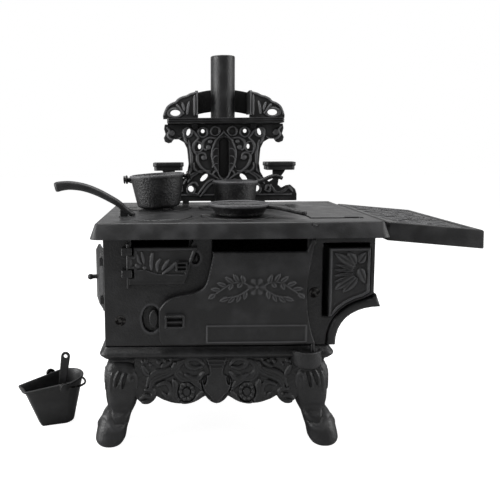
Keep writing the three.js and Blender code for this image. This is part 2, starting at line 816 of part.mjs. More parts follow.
function leftSidePanel() {
  const opening = block(bodyLeft - cutOverrun, bodyLeft + panelWall + cutOverrun,
    sideHingeY + sideOpeningInset, sideHingeY + sideDoorWidth - sideOpeningInset,
    sideDoorBottom + sideOpeningInset, sideDoorTop - sideOpeningInset);
  const wall = block(bodyLeft, bodyLeft + panelWall, sideFront, sideBack, bodyBottom, bodyTop)
    .subtract(opening);
  const lugs = sideLugHeights.map((z) => block(sideHingeX - lugReach, bodyLeft + panelWall / 2,
    sideHingeY - lugReach, sideHingeY + lugReach, z, z + lugHeight));
  const bore = post(sideHingeX, sideHingeY, hingeRodRadius + runningGap, sideDoorBottom, sideDoorTop);
  return joined(wall, ...lugs.map((lug) => lug.subtract(bore)));
}

// Right end: an upright wall over a bead that runs down the hollow curve to the foot.
function rightEnd() {
  const outer = endCurvePoints(0, Infinity);
  const inner = endCurvePoints(endWall, bodyRight).reverse();
  const lipTop = endLipHeight + endLipThickness;
  const outline = [...outer, [endLipX - endLipChamfer, lipTop], [bodyRight, lipTop], ...inner];
  const bead = upright(shapeFrom(outline), bodyFront - endProud, bodyBack - bodyFront + 2 * endProud);
  const wall = block(bodyRight - panelWall, bodyRight, sideFront, sideBack, lipTop - endWall, bodyTop);
  return bead.add(wall);
}

// Inner parts
function floorPlate() {
  const left = bodyLeft + panelWall + seatGap;
  const right = Math.min(endFootX - endWall, tankLeft) - seatGap;
  return block(left, right, sideFront, sideBack, bodyBottom, bodyBottom + floorThickness);
}

// Grate with slots for the ash, and the wall that parts the fire from the oven.
function fireGrate() {
  const left = bodyLeft + panelWall + seatGap;
  const right = left + grateWidth;
  const [front, back] = [sideFront, sideBack];
  const slotRoom = grateWidth - 2 * grateWall - grateSlotWidth;
  const slots = Array.from({ length: grateSlotCount }, (_, i) => {
    const x = left + grateWall * 2 + slotRoom * i / grateSlotCount;
    return block(x, x + grateSlotWidth, front + grateSlotWidth, back - grateSlotWidth,
      grateHeight - cutOverrun, grateHeight + grateWall + cutOverrun);
  });
  const floor = slots.reduce((body, slot) => body.subtract(slot),
    block(left, right, front, back, grateHeight, grateHeight + grateWall));
  const wall = block(right - grateWall, right, front, back, grateHeight, bodyTop - grateSlotWidth);
  const foot = block(left, left + grateWall, front, back, bodyBottom + floorThickness + seatGap, grateHeight);
  const farFoot = foot.translate(grateWidth - grateWall, 0, 0);
  const archCut = block(left - cutOverrun, right + cutOverrun, front + grateSlotWidth, back - grateSlotWidth,
    bodyBottom, grateHeight - grateWall);
  return joined(floor, wall, foot.subtract(archCut), farFoot.subtract(archCut));
}

// Water tank: it stands on the hollow curve, open at its top, and its front shows in the front panel.
function waterTank() {
  const depth = sideBack - bodyFront + tankProud;
  const outer = upright(shapeFrom(tankOutline(0, 0)), bodyFront - tankProud, depth);
  const innerTop = tankWall + tankGapAbove;
  const innerDepth = sideBack - tankWall - bodyFront - panelWall;
  const inner = upright(shapeFrom(tankOutline(0, innerTop, tankWall)), bodyFront + panelWall, innerDepth);
  return outer.subtract(inner);
}

function screw({ x, z }) {
  const head = barAlongY(x, z, screwHeadRadius, bodyFront, bodyFront + screwHeadThickness, screwHeadSides);
  const shankEnd = bodyBack + nutThickness + seatGap * 2;
  const shank = barAlongY(x, z, screwShankRadius, bodyFront + screwHeadThickness / 2, shankEnd);
  const half = crossSlotWidth / 2;
  const reach = screwHeadRadius / 2;
  const [y0, y1] = [bodyFront - cutOverrun, bodyFront + crossSlotDepth];
  const cross = block(x - half, x + half, y0, y1, z - reach, z + reach)
    .add(block(x - reach, x + reach, y0, y1, z - half, z + half));
  return head.add(shank).subtract(cross);
}

function nut({ x, z }) {
  const radius = nutAcross / Math.sqrt(3);
  const y = bodyBack + seatGap;
  return barAlongY(x, z, radius, y, y + nutThickness, nutSides)
    .subtract(barAlongY(x, z, screwShankRadius + seatGap, y - cutOverrun, y + nutThickness + cutOverrun));
}

// Cook top
function lidPlaces() {
  return [['front_left', -1, -1], ['front_right', 1, -1], ['rear_left', -1, 1], ['rear_right', 1, 1]]
    .map(([name, sideX, sideY]) => ({
      name, x: lidsCentreX + sideX * lidPitchAcross / 2, y: lidsCentreY + sideY * lidPitchBack / 2,
    }));
}

const lidRadius = lidDiameter / 2;
const ledgeHeight = topHeight - lidRimThickness - seatGap;
const plugRadius = lidRadius - lidLedge;

function lidHole({ x, y }) {
  const rim = lidRadius + seatGap;
  const inner = plugRadius + seatGap;
  return turned([[0, plateUnderside - cutOverrun], [inner, plateUnderside - cutOverrun], [inner, ledgeHeight],
    [rim, ledgeHeight], [rim, topHeight + cutOverrun], [0, topHeight + cutOverrun]], x, y);
}

function longLidHole() {
  const half = [longLidWidth / 2, longLidDepth / 2];
  const cut = (grow, z0, z1) => block(longLidCentreX - half[0] - grow, longLidCentreX + half[0] + grow,
    longLidCentreY - half[1] - grow, longLidCentreY + half[1] + grow, z0, z1);
  return cut(seatGap, ledgeHeight, topHeight + cutOverrun)
    .add(cut(seatGap - lidLedge, plateUnderside - cutOverrun, topHeight));
}

// Windows in the right apron for the side shelf's tongues
const tongueWindowShares = [0.18, 0.67];

function tongueWindows() {
  const half = tongueWidth / 2 + runningGap;
  const [low, high] = tongueWindowShares.map((share) => apronBottom + apronHeight * share);
  return [-1, 1].map((side) => {
    const y = side * sideShelfDepth * tonguePlaceShare;
    return block(bodyRight, topWidth / 2 + apronFlare + cutOverrun, y - half, y + half, low, high);
  });
}

function topPlate() {
  const halfX = topWidth / 2;
  const halfY = topDepth / 2;
  const edge = topEdgeRound;
  const shell = (grow, z) => rectangleRing(-halfX - grow, halfX + grow, -halfY - grow, halfY + grow,
    topCornerRadius + Math.max(grow, -edge), z);
  const outer = loft([shell(apronFlare, apronBottom), shell(0, topHeight - edge), shell(-edge, topHeight)]);
  const slope = apronFlare / apronHeight;
  const inner = loft([shell(apronFlare - apronWall + slope * cutOverrun, apronBottom - cutOverrun),
    shell(apronFlare - apronWall - slope * (apronHeight - topThickness), plateUnderside)]);
  const collarTop = topHeight + collarHeight;
  const collar = post(flueX, flueY, flueHoleRadius + collarWall, plateUnderside, collarTop, roundSteps);
  const under = plateUnderside - cutOverrun;
  const flueHole = post(flueX, flueY, flueHoleRadius, under, collarTop + cutOverrun, roundSteps);
  const pinRoom = hingePinRadius + runningGap;
  const bossTop = plateUnderside + cutOverrun;
  const boss = post(ovenHingeX, ovenHingeY, pinRoom + lugWall, apronBottom + hingeBossDrop, bossTop);
  const pinHole = post(ovenHingeX, ovenHingeY, pinRoom, apronBottom, plateUnderside);
  const lidHoles = [...lidPlaces().map(lidHole), longLidHole()];
  const cuts = [...lidHoles, flueHole, pinHole, ...splashSlots(), ...tongueWindows()];
  return cuts.reduce((body, cut) => body.subtract(cut), joined(outer.subtract(inner), collar, boss));
}

// A slot from the left rim takes the lifter.
function lidNotch({ x, y }) {
  const shape = new THREE.Shape();
  const half = lidNotchWidth / 2;
  const left = x - lidRadius;
  shape.moveTo(left - cutOverrun, y - half);
  shape.lineTo(left + lidNotchLength - half, y - half);
  shape.absarc(left + lidNotchLength - half, y, half, -Math.PI / 2, Math.PI / 2);
  shape.lineTo(left - cutOverrun, y + half);
  return level(shape, plateUnderside - cutOverrun, topThickness + lidRise + 2 * cutOverrun, coarseSteps);
}

function lid(spot) {
  const low = topHeight - lidRimThickness;
  const top = topHeight + lidRise;
  const edge = lidRise / 2;
  const plugFoot = low - lidPlugDepth;
  const profile = [[0, plugFoot], [plugRadius, plugFoot], [plugRadius, low], [lidRadius, low],
    [lidRadius, top - edge], [lidRadius - edge, top], [0, top]];
  return turned(profile, spot.x, spot.y).subtract(lidNotch(spot));
}

function longLid() {
  const low = topHeight - lidRimThickness;
  const [halfX, halfY] = [longLidWidth / 2, longLidDepth / 2];
  const [left, right] = [longLidCentreX - halfX, longLidCentreX + halfX];
  const [front, back] = [longLidCentreY - halfY, longLidCentreY + halfY];
  const top = topHeight + lidRise;
  const plate = loft([low, top].map((z) => rectangleRing(left, right, front, back, longLidCorner, z)));
  const plug = block(left + lidLedge, right - lidLedge, front + lidLedge, back - lidLedge,
    low - lidPlugDepth, low + lidRise);
  const notchLeft = right - longLidNotchWidth - longLidNotchDepth;
  const notch = block(notchLeft, notchLeft + longLidNotchWidth, front - cutOverrun, front + longLidNotchDepth,
    low - cutOverrun, top + cutOverrun);
  return plate.add(plug).subtract(notch);
}

// Doors
function fingerLoop(x, z, frontY, width, height) {
  const [low, high] = [z + loopBar, z + height - loopBar];
  const frame = block(x, x + width, frontY - loopReach, frontY + cutOverrun / 2, z, z + height);
  const [left, right, floor] = [x + loopBar, x + width - loopBar, frontY - loopFloor];
  const hole = block(left, right, frontY - loopReach - cutOverrun, floor, low, high);
  const slot = block(x - cutOverrun, x + width + cutOverrun, frontY - loopReach / 2, floor, low, high);
  return frame.subtract(hole).subtract(slot);
}

function ovenDoorShape() {
  const edge = ovenEdgeShares.map(([along, up]) => [
    ovenHingeX - along * ovenDoorWidth, ovenDoorBottom + up * ovenDoorHeight,
  ]);
  const hingeEdge = ovenHingeX + hingePinRadius;
  const pinTop = apronBottom - seatGap * 2;
  const shape = new THREE.Shape();
  shape.moveTo(ovenHingeX, ovenDoorBottom);
  shape.lineTo(edge[0][0] + ovenRimWall, ovenDoorBottom);
  edge.forEach(([x, z]) => shape.lineTo(x, z));
  shape.lineTo(ovenHingeX - ovenWaist, ovenDoorTop);
  shape.lineTo(ovenHingeX - hingePinRadius, pinTop);
  shape.lineTo(hingeEdge, pinTop);
  const waistHeight = (ovenDoorBottom + ovenDoorTop) / 2;
  shape.quadraticCurveTo(ovenHingeX - ovenWaist * 2, waistHeight, hingeEdge, ovenDoorBottom);
  return shape;
}

// A pointed leaf from its stalk, turned by an angle in the door's plane.
function leafShape(x, z, length, width, angle) {
  const [c, s] = [Math.cos(angle), Math.sin(angle)];
  const at = (along, across) => [x + c * along - s * across, z + s * along + c * across];
  const shape = new THREE.Shape();
  shape.moveTo(x, z);
  shape.quadraticCurveTo(...at(length / 2, width), ...at(length, 0));
  shape.quadraticCurveTo(...at(length / 2, -width), x, z);
  return shape;
}

const ornamentCentreShares = [0.37, 0.63];
const ornamentReach = 21;
const ornamentRise = 15;
const sprayTurn = 0.38;
const sprayArc = 1.4;
const sprayStart = 0.38;
const leafLength = 9.5;
const leafWidth = 3.6;
const sprayLeaves = 5;
const flowerRadius = 6.5;
const stripRise = 8.3;

// A flower between two arching sprays of leaves, and a bare raised strip under them.
function ovenOrnament() {
  const centreX = ovenHingeX - ornamentCentreShares[0] * ovenDoorWidth;
  const centreZ = ovenDoorBottom + ornamentCentreShares[1] * ovenDoorHeight;
  const back = ovenDoorBack - ovenDoorThickness / 2;
  const depth = ovenDoorThickness / 2 + ornamentProud;
  const leaves = [-1, 1].flatMap((side) => Array.from({ length: sprayLeaves }, (_, i) => {
    const turn = i * sprayTurn;
    const x = centreX + side * ornamentReach * Math.sin(turn + sprayStart);
    const z = centreZ - ornamentRise * Math.cos(turn * sprayArc);
    const angle = side > 0 ? turn : Math.PI - turn;
    return upright(leafShape(x, z, leafLength, leafWidth, angle), back - depth, depth, cornerSteps);
  }));
  const flower = barAlongY(centreX, centreZ, flowerRadius, back - depth, back);
  const stripLeft = centreX - stripWidth / 2;
  const stripBottom = ovenDoorBottom + stripRise;
  const strip = block(stripLeft, stripLeft + stripWidth, back - depth, back,
    stripBottom, stripBottom + stripHeight);
  return joined(flower, strip, ...leaves);
}

function ovenDoor() {
  const plate = upright(ovenDoorShape(), ovenDoorFront, ovenDoorThickness, coarseSteps * 2);
  const rimLeft = ovenHingeX - ovenDoorWidth * ovenEdgeShares.at(-1)[0] + ovenRimWall;
  const rimRight = ovenHingeX - ovenOpeningInset * 2;
  const rimFront = ovenDoorBack - ovenDoorThickness / 2;
  const rimBack = bodyFront - seatGap;
  const rimBottom = ovenDoorBottom + ovenRimWall;
  const rimTop = ovenDoorTop - ovenRimWall;
  const rim = block(rimLeft, rimRight, rimFront, rimBack, rimBottom, rimTop)
    .subtract(block(rimLeft + ovenRimWall, rimRight - ovenRimWall, ovenDoorBack, rimBack + cutOverrun,
      rimBottom + ovenRimWall, rimTop - ovenRimWall));
  const pins = joined(
    post(ovenHingeX, ovenHingeY, hingePinRadius, cupSocketFloor + runningGap, ovenDoorBottom + cutOverrun),
    post(ovenHingeX, ovenHingeY, hingePinRadius, apronBottom - hingePinLength, apronBottom + hingePinLength),
  );
  const loopLeft = ovenHingeX - ovenDoorWidth + ovenLoopInset;
  const loopBottom = ovenDoorBottom + ovenLoopRise;
  const loop = fingerLoop(loopLeft, loopBottom, ovenDoorFront, ovenLoopWidth, ovenLoopHeight);
  return joined(plate, rim, pins, loop, ovenOrnament());
}

// Outline of the fire door moved inwards on all sides: its free edge slopes in towards its foot.
function fireDoorShape(inset, left = fireDoorLeft + inset) {
  const right = fireDoorRight - inset;
  const [low, high] = [fireDoorBottom + inset, fireDoorTop - inset];
  return shapeFrom([[left, low], [right - fireDoorSlope, low], [right, high], [left, high]]);
}

const fanTurns = [0.22, 0.36, 0.5, 0.64, 0.78];
const fanLeafLength = 13.8;

// Leaves spread like a fan from the foot of the fire door.
function fireFan(front) {
  const hubX = fireDoorLeft + fireDoorWidth / 2;
  const hubZ = fireDoorBottom + fireOpeningInset * 2;
  return fanTurns.map((turn) => {
    const angle = Math.PI * turn;
    const [x, z] = [hubX + leafWidth * Math.cos(angle), hubZ + leafWidth * Math.sin(angle)];
    const leaf = leafShape(x, z, fanLeafLength, leafWidth, angle);
    return upright(leaf, front - ornamentProud, ornamentProud * 2, cornerSteps);
  });
}

function fireDoor() {
  const front = fireRodY - fireDoorThickness / 2;
  const plate = upright(fireDoorShape(0, fireDoorLeft - hingeRodRadius), front, fireDoorThickness);
  const field = upright(fireDoorShape(fireOpeningInset), front - ornamentProud, ornamentProud * 2);
  const room = upright(fireDoorShape(fireOpeningInset * 2), front - ornamentProud * 2, ornamentProud * 2);
  const [rodLow, rodHigh] = [fireDoorBottom - hingeRodOverrun, fireDoorTop + hingeRodOverrun];
  const rod = post(fireRodX, fireRodY, hingeRodRadius, rodLow, rodHigh);
  const loopLeft = fireDoorRight - fireLoopFromRight;
  const loop = fingerLoop(loopLeft, fireDoorBottom + fireLoopRise, front, fireLoopWidth, fireLoopHeight);
  const lugs = lugRoom(fireRodX, fireRodY, fireLugHeights);
  const leaf = joined(plate, field.subtract(room), ...fireFan(front)).subtract(lugs);
  return joined(leaf, rod, loop);
}

// Raised field of the side door, with sloping sides.
function sideDoorField(front) {
  const half = sideDoorThickness / 2;
  const ring = (out, x) => {
    const [z0, z1] = [sideDoorBottom + out, sideDoorTop - out];
    const [y0, y1] = [front + hingeRodRadius * 2 + out, sideDoorWidth - out];
    return [[y0, z0], [y0, z1], [y1, z1], [y1, z0]].map(([y, z]) => new THREE.Vector3(x, y, z));
  };
  return loft([ring(seatGap, 0), ring(seatGap, -half), ring(sideFieldSlope, -half - sideFieldProud)]);
}

// The side door is drawn closed, then it is stood ajar.
function sideDoor() {
  const half = sideDoorThickness / 2;
  const front = hingeRodRadius / 2;
  const plate = block(-half, half, front, sideDoorWidth, sideDoorBottom, sideDoorTop);
  const knobY = (front + sideDoorWidth) / 2;
  const knobZ = (sideDoorBottom + sideDoorTop) / 2;
  const knobX = -half - sideFieldProud - knobReach + knobRadius;
  const ball = new THREE.SphereGeometry(knobRadius, knobSides, coarseSteps * 2).translate(knobX, knobY, knobZ);
  const stem = new THREE.CylinderGeometry(knobStemRadius, knobStemRadius, knobReach, smallRoundSteps)
    .rotateZ(Math.PI / 2).translate(knobX + knobReach / 2, knobY, knobZ);
  const rod = post(0, 0, hingeRodRadius, sideDoorBottom, sideDoorTop);
  const leaf = plate.add(sideDoorField(front)).subtract(lugRoom(0, 0, sideLugHeights));
  return joined(leaf, rod, solid(ball), solid(stem));
}

// Backsplash, in shares of its half width and of its height over its foot
const splashHalf = splashBaseWidth / 2;
const splashHeight = splashTop - splashBottom;
const bracketShares = [[0.98, 0.15], [0.91, 0.21], [0.85, 0.2], [0.79, 0.17], [0.74, 0.21], [0.75, 0.28],
  [0.82, 0.37]];
const neckFootShares = [0.67, 0.28];
const flankShares = [[0.62, 0.25], [0.55, 0.3], [0.5, 0.38], [0.48, 0.49], [0.49, 0.6], [0.5, 0.69],
  [0.54, 0.77], [0.61, 0.81], [0.68, 0.81]];
const scrollBallShares = [[0.71, 0.77], [0.75, 0.76], [0.8, 0.78], [0.815, 0.83], [0.79, 0.88], [0.81, 0.94],
  [0.8, 1]];

function splashPoint([out, up]) {
  return [out * splashHalf, splashBottom + up * splashHeight];
}

function splashShape() {
  const stripTop = splashBottom + splashStripHeight;
  const bracketTop = teapotShelfHeight - seatGap;
  const postHalf = teapotPostWidth / 2;
  const neck = [[teapotShelfOffset + postHalf, bracketTop], [teapotShelfOffset - postHalf, bracketTop],
    splashPoint(neckFootShares)];
  const half = [[splashHalf, splashBottom], [splashHalf, stripTop], ...bracketShares.map(splashPoint), ...neck,
    ...flankShares.map(splashPoint), ...scrollBallShares.map(splashPoint)];
  const other = half.map(([x, z]) => [-x, z]).reverse();
  return shapeFrom([...half, ...other]);
}

// Pierced holes beside the middle: [way out, way up, half width, half height] shares and a slant.
const splashHoleShares = [
  [0.285, 0.912, 0.026, 0.024, 0], [0.48, 0.9, 0.026, 0.046, 0.35], [0.33, 0.715, 0.022, 0.034, 0],
  [0.27, 0.31, 0.032, 0.066, 0.8], [0.45, 0.163, 0.038, 0.043, -0.4],
];

function splashHoles() {
  return splashHoleShares.flatMap(([out, up, wide, high, slant]) => [-1, 1].map((side) => {
    const [x, z] = splashPoint([out * side, up]);
    const shape = new THREE.Shape();
    shape.absellipse(x, z, wide * splashHalf, high * splashHeight, 0, Math.PI * 2, false, slant * side);
    return upright(shape, splashFront - cutOverrun, splashWall + 2 * cutOverrun, coarseSteps);
  }));
}

const flueSlotShares = [[0, 0.31], [0, 0.82]];

function flueSlot() {
  const half = flueSlotWidth / 2;
  const [low, high] = [splashPoint(flueSlotShares[0])[1] + half, splashPoint(flueSlotShares[1])[1] - half];
  const shape = new THREE.Shape();
  shape.absarc(0, high, half, 0, Math.PI);
  shape.absarc(0, low, half, Math.PI, Math.PI * 2);
  return upright(shape, splashFront - cutOverrun, splashWall + 2 * cutOverrun, coarseSteps);
}

// Raised scrolls of one half, each a row of [way out, way up] shares.
const splashScrollShares = [
  [[0, 0.95], [0.05, 0.85], [0.13, 0.79], [0.185, 0.67], [0.19, 0.53], [0.15, 0.38], [0.08, 0.28], [0, 0.25]],
  [[0.11, 0.8], [0.2, 0.83], [0.26, 0.77], [0.26, 0.67], [0.2, 0.65]],
  [[0.42, 0.66], [0.38, 0.56], [0.37, 0.44], [0.27, 0.34], [0.12, 0.28]],
  [[0.35, 0.47], [0.32, 0.57], [0.26, 0.59], [0.24, 0.52], [0.29, 0.48]],
  [[0.28, 0.84], [0.42, 0.7], [0.38, 0.6]],
  [[0.1, 0.2], [0.22, 0.2], [0.34, 0.15], [0.38, 0.08], [0.5, 0.08], [0.54, 0.15], [0.48, 0.21], [0.4, 0.2]],
  [[0.34, 0.33], [0.44, 0.28], [0.54, 0.24], [0.68, 0.21], [0.78, 0.25]],
];

function splashScrolls() {
  return splashScrollShares.flatMap((row) => [-1, 1].map((side) => {
    const path = new THREE.CatmullRomCurve3(row.map(([out, up]) => {
      const [x, z] = splashPoint([out * side, up]);
      return new THREE.Vector3(x, splashFront, z);
    }));
    return wire(path, reliefRadius, row.length + 2, reliefSides);
  }));
}

const splashFootOffset = 36;
const shelfArmOffset = 27;
const shelfArmReach = 12;
const splashFeet = [-splashFootOffset, splashFootOffset];

function splashSlots() {
  const half = splashPegWidth / 2;
  return splashFeet.map((x) => block(backCentreX + x - half, backCentreX + x + half, splashFront + seatGap,
    splashBack - seatGap, plateUnderside - cutOverrun, topHeight + cutOverrun));
}

function backsplash() {
  const half = splashPegWidth / 2;
  const feet = splashFeet.map((x) => block(x - half, x + half, splashFront, splashBack, topHeight + seatGap,
    splashBottom + seatGap));
  const pegs = splashFeet.map((x) => block(x - half + seatGap, x + half - seatGap, splashFront + seatGap * 2,
    splashBack - seatGap * 2, plateUnderside, topHeight + cutOverrun));
  const arms = [-1, 1].map((side) => shelfArm(side * shelfArmOffset));
  const plate = upright(splashShape(), splashFront, splashWall, coarseSteps);
  const whole = joined(plate, ...splashScrolls(), ...feet, ...pegs, ...arms);
  const pierced = [flueSlot(), ...splashHoles()].reduce((body, hole) => body.subtract(hole), whole);
  return pierced.translate(backCentreX, 0, 0);
}

// A short arm under the warming shelf, cast with the backsplash.
function shelfArm(x) {
  const low = splashTop - shelfThickness;
  const profile = [[0, splashTop], [0, low], [-splashWall, low], [-shelfArmReach, splashTop]];
  const options = { depth: shelfThickness, bevelEnabled: false };
  const geometry = new THREE.ExtrudeGeometry(shapeFrom(profile), options);
  geometry.rotateX(Math.PI / 2).rotateZ(Math.PI / 2);
  return solid(geometry.translate(x + shelfThickness / 2, splashFront + seatGap, 0));
}

// Warming shelf with grooves along its front edge
const shelfGrooveShares = [0.3, 0.7];
const shelfGroove = 0.8;

function warmingShelf() {
  const half = shelfWidth / 2;
  const front = splashBack - shelfDepth;
  const plate = level(roundedPlan(backCentreX - half, backCentreX + half, front, splashBack, topCornerRadius),
    shelfBottom, shelfThickness, cornerSteps);
  const grooves = shelfGrooveShares.map((share) => {
    const z = shelfBottom + shelfThickness * share;
    return block(backCentreX - half - cutOverrun, backCentreX + half + cutOverrun, front - cutOverrun,
      front + shelfGroove, z - shelfGroove / 2, z + shelfGroove / 2);
  });
  return grooves.reduce((body, groove) => body.subtract(groove), plate);
}

// A plan view rectangle with round corners.
function roundedPlan(x0, x1, y0, y1, radius) {
  const shape = new THREE.Shape();
  shape.absarc(x1 - radius, y1 - radius, radius, 0, Math.PI / 2);
  shape.absarc(x0 + radius, y1 - radius, radius, Math.PI / 2, Math.PI);
  shape.absarc(x0 + radius, y0 + radius, radius, Math.PI, Math.PI * 1.5);
  shape.absarc(x1 - radius, y0 + radius, radius, Math.PI * 1.5, Math.PI * 2);
  return shape;
}

// Crest: two wings on the shelf, and a bridge round the back of the flue.
const crestWingShares = [[1, 0], [1, 0.16], [0.95, 0.42], [0.88, 0.555], [0.8, 0.63], [0.76, 0.72], [0.69, 0.8],
  [0.62, 0.84], [0.555, 0.91], [0.47, 0.96]];
const crestHoleShares = [0.8, 0.22];
const crestHoleHalf = [4.6, 2.8];
const crestRibShares = [[0.62, 0.2], [0.56, 0.2], [0.51, 0.2]];
const crestRibReachShares = [0.1, 0.42];
const crestBridgeLow = 5;
const crestBridgeRise = 7;

function crestPoint([out, up]) {
  return [out * crestWidth / 2, shelfTop + seatGap + up * crestHeight];
}

function crestRib([out, up], side) {
  const [outReach, upReach] = crestRibReachShares;
  const [foot, tip] = [crestPoint([out, up]), crestPoint([out + outReach, up + upReach])];
  const [from, to] = [foot, tip].map(([x, z]) => new THREE.Vector3(side * x, splashFront, z));
  return wire(new THREE.LineCurve3(from, to), reliefRadius, 1, reliefSides);
}

// One wing with its ribs and hole, and the cheek that runs back beside the flue.
function crestWing(side) {
  const bottom = shelfTop + seatGap;
  const inner = crestArchWidth / 2 - crestWall;
  const outline = [...crestWingShares.map(crestPoint), [inner, bottom + crestHeight], [inner, bottom]];
  const plate = upright(shapeFrom(outline.map(([x, z]) => [side * x, z])), splashFront, crestWall);
  const [holeX, holeZ] = crestPoint(crestHoleShares);
  const hole = ovalAlongY([side * holeX, holeZ], crestHoleHalf, splashFront - cutOverrun,
    splashFront + crestWall + cutOverrun);
  const arm = side * (inner + crestWall / 2);
  const cheek = block(arm - crestWall / 2, arm + crestWall / 2, splashFront, crestBridgeFront + crestWall,
    bottom + crestBridgeLow, bottom + crestHeight);
  return joined(plate, ...crestRibShares.map((rib) => crestRib(rib, side)), cheek).subtract(hole);
}

const crestBridgeFront = flueY + flueRadius + seatGap * 2;

function crest() {
  const low = shelfTop + seatGap + crestBridgeLow;
  const high = shelfTop + seatGap + crestHeight;
  const half = crestArchWidth / 2;
  const bridge = new THREE.Shape();
  bridge.moveTo(-half, low);
  bridge.quadraticCurveTo(0, low + crestBridgeRise, half, low);
  bridge.lineTo(half, high);
  bridge.quadraticCurveTo(0, high + crestBridgeRise, -half, high);
  const back = upright(bridge, crestBridgeFront, crestWall);
  return joined(crestWing(-1), crestWing(1), back).translate(backCentreX, 0, 0);
}

// Teapot shelf on the neck of a scroll bracket
const teapotLip = 1;
const teapotCorner = 4.6;

function teapotShelf(side) {
  const [halfX, halfY] = [teapotShelfWidth / 2, teapotShelfDepth / 2];
  const x = backCentreX + side * teapotShelfOffset;
  const y = splashFront + splashWall / 2;
  const plan = (grow) => roundedPlan(x - halfX - grow, x + halfX + grow, y - halfY - grow, y + halfY + grow,
    teapotCorner);
  const middle = teapotShelfHeight + teapotShelfThickness / 2;
  return level(plan(-teapotLip), teapotShelfHeight, teapotShelfThickness, cornerSteps)
    .add(level(plan(0), middle, teapotShelfThickness / 2, cornerSteps));
}

function fluePipe() {
  const bottom = topHeight + seatGap;
  const inner = flueRadius - flueWall;
  const outer = flueRadius;
  const profile = [[inner, bottom], [outer, bottom], [outer, flueTop], [inner, flueTop], [inner, bottom]];
  return turned(profile, flueX, flueY);
}

// Side shelf, drawn level about its axis and then let down by its droop
const shelfLeafShares = [[0.2, 0.09], [0.5, 0.13], [0.8, 0.09]];
const shelfRowShares = [0.14, 0.38, 0.62, 0.86];
const shelfLeafWidth = 4;
const shelfLeafTurn = Math.PI / 5;

// The leaf slots that pierce the top of the side shelf.
function shelfLeaves(left, half, high) {
  return shelfRowShares.flatMap((row, i) => shelfLeafShares.map(([column, long]) => {
    const [x, y] = [left + column * sideShelfWidth, -half + row * sideShelfDepth];
    const length = long * sideShelfDepth;
    const turn = (i % 2 ? 1 : -1) * shelfLeafTurn;
    const foot = [x - length / 2 * Math.cos(turn), y - length / 2 * Math.sin(turn)];
    const leaf = leafShape(...foot, length, shelfLeafWidth, turn);
    const bottom = high - sideShelfThickness - cutOverrun;
    return level(leaf, bottom, sideShelfThickness + 2 * cutOverrun, cornerSteps);
  }));
}

function sideShelf() {
  const half = sideShelfDepth / 2;
  const [left, right] = [sideShelfEdge, sideShelfEdge + sideShelfWidth];
  const [low, high] = [sideShelfRise - sideShelfApron, sideShelfRise];
  const wall = sideShelfThickness;
  const flare = wall / 2;
  const shell = (start, inset, z) => rectangleRing(
    start, right - inset, -half + inset, half - inset, flare, z,
  );
  const outer = loft([shell(left, 0, low), shell(left, flare, high)]);
  const beyond = left - sideShelfWidth;
  const inner = loft([shell(beyond, wall, low - cutOverrun), shell(beyond, flare + wall, high - wall)]);
  const tongues = [-1, 1].map((side) => {
    const y = side * sideShelfDepth * tonguePlaceShare;
    const [near, far] = [y - tongueWidth / 2, y + tongueWidth / 2];
    const under = -tongueDrop - tongueThickness;
    return block(-tongueReach, left + wall, near, far, under, -tongueDrop)
      .add(block(left, left + wall, near, far, under, high));
  });
  const cuts = [inner, ...shelfLeaves(left, half, high)];
  const pierced = cuts.reduce((body, leaf) => body.subtract(leaf), outer);
  return joined(pierced, ...tongues).rotate([0, sideShelfDroopDegrees, 0]).translate(shelfAxisX, 0, shelfAxisZ);
}

// Cookware
// Moves a solid so that its lowest point is just clear of a height.
function standOn(body, x, y, z) {
  return body.translate(x, y, z + seatGap - body.boundingBox().min[2]);
}

const lidTop = topHeight + lidRise;

// Place of a pot from the middle of the lid that it stands on.
function onLid(name, [acrossOffset, backOffset]) {
  const spot = lidPlaces().find((lidSpot) => lidSpot.name === name);
  return [spot.x + acrossOffset, spot.y + backOffset];
}

// Bowl with a rounded foot and a rolled rim, open at its top.
function bowl(rimRadius, baseRadius, height, round) {
  const [rim, wall] = [potWall / 2, potWall];
  const inside = rimRadius - rim - wall;
  const cut = round * roundCutShare;
  return turned([[0, 0], [baseRadius - round, 0], [baseRadius - cut, cut], [baseRadius, round],
    [rimRadius - rim, height - rim * 2], [rimRadius, height - rim], [rimRadius, height], [inside, height],
    [inside, height - rim * 2], [baseRadius - wall, round], [baseRadius - round, wall], [0, wall]], 0, 0);
}

const earHeightShare = 0.9;
const earNeckRadius = 1.6;
const earFlange = 1.4;
const gateSize = [9, 2.4];

function potEar(side) {
  const rim = potRimRadius - earFlange;
  const z = potHeight * earHeightShare;
  const neck = new THREE.CylinderGeometry(earNeckRadius, earNeckRadius, earReach + earFlange, smallRoundSteps);
  const flange = new THREE.CylinderGeometry(earRadius, earRadius, earFlange, smallRoundSteps);
  neck.rotateZ(Math.PI / 2).translate(side * (rim + (earReach + earFlange) / 2), 0, z);
  flange.rotateZ(Math.PI / 2).translate(side * (rim + earReach + earFlange / 2), 0, z);
  return solid(neck).add(solid(flange));
}

// The gate mark left of casting under the base makes the pot lean.
function bailPotSolid() {
  const drop = Math.tan(potLeanDegrees * Math.PI / 180) * potBaseRadius * potGateReachShare;
  const gateX = potBaseRadius / 2;
  const half = gateSize[0] / 2;
  const gate = block(gateX, gateX + gateSize[1], -half, half, -drop, potWall / 2);
  const pot = bowl(potRimRadius, potBaseRadius, potHeight, potFootRound);
  return joined(pot, potEar(-1), potEar(1), gate).rotate([0, -potLeanDegrees, 0]);
}

function bailPot() {
  return standOn(bailPotSolid(), ...onLid('rear_left', potFromLid), lidTop);
}

const bailLoopRadius = earNeckRadius + runningGap + bailWireRadius;

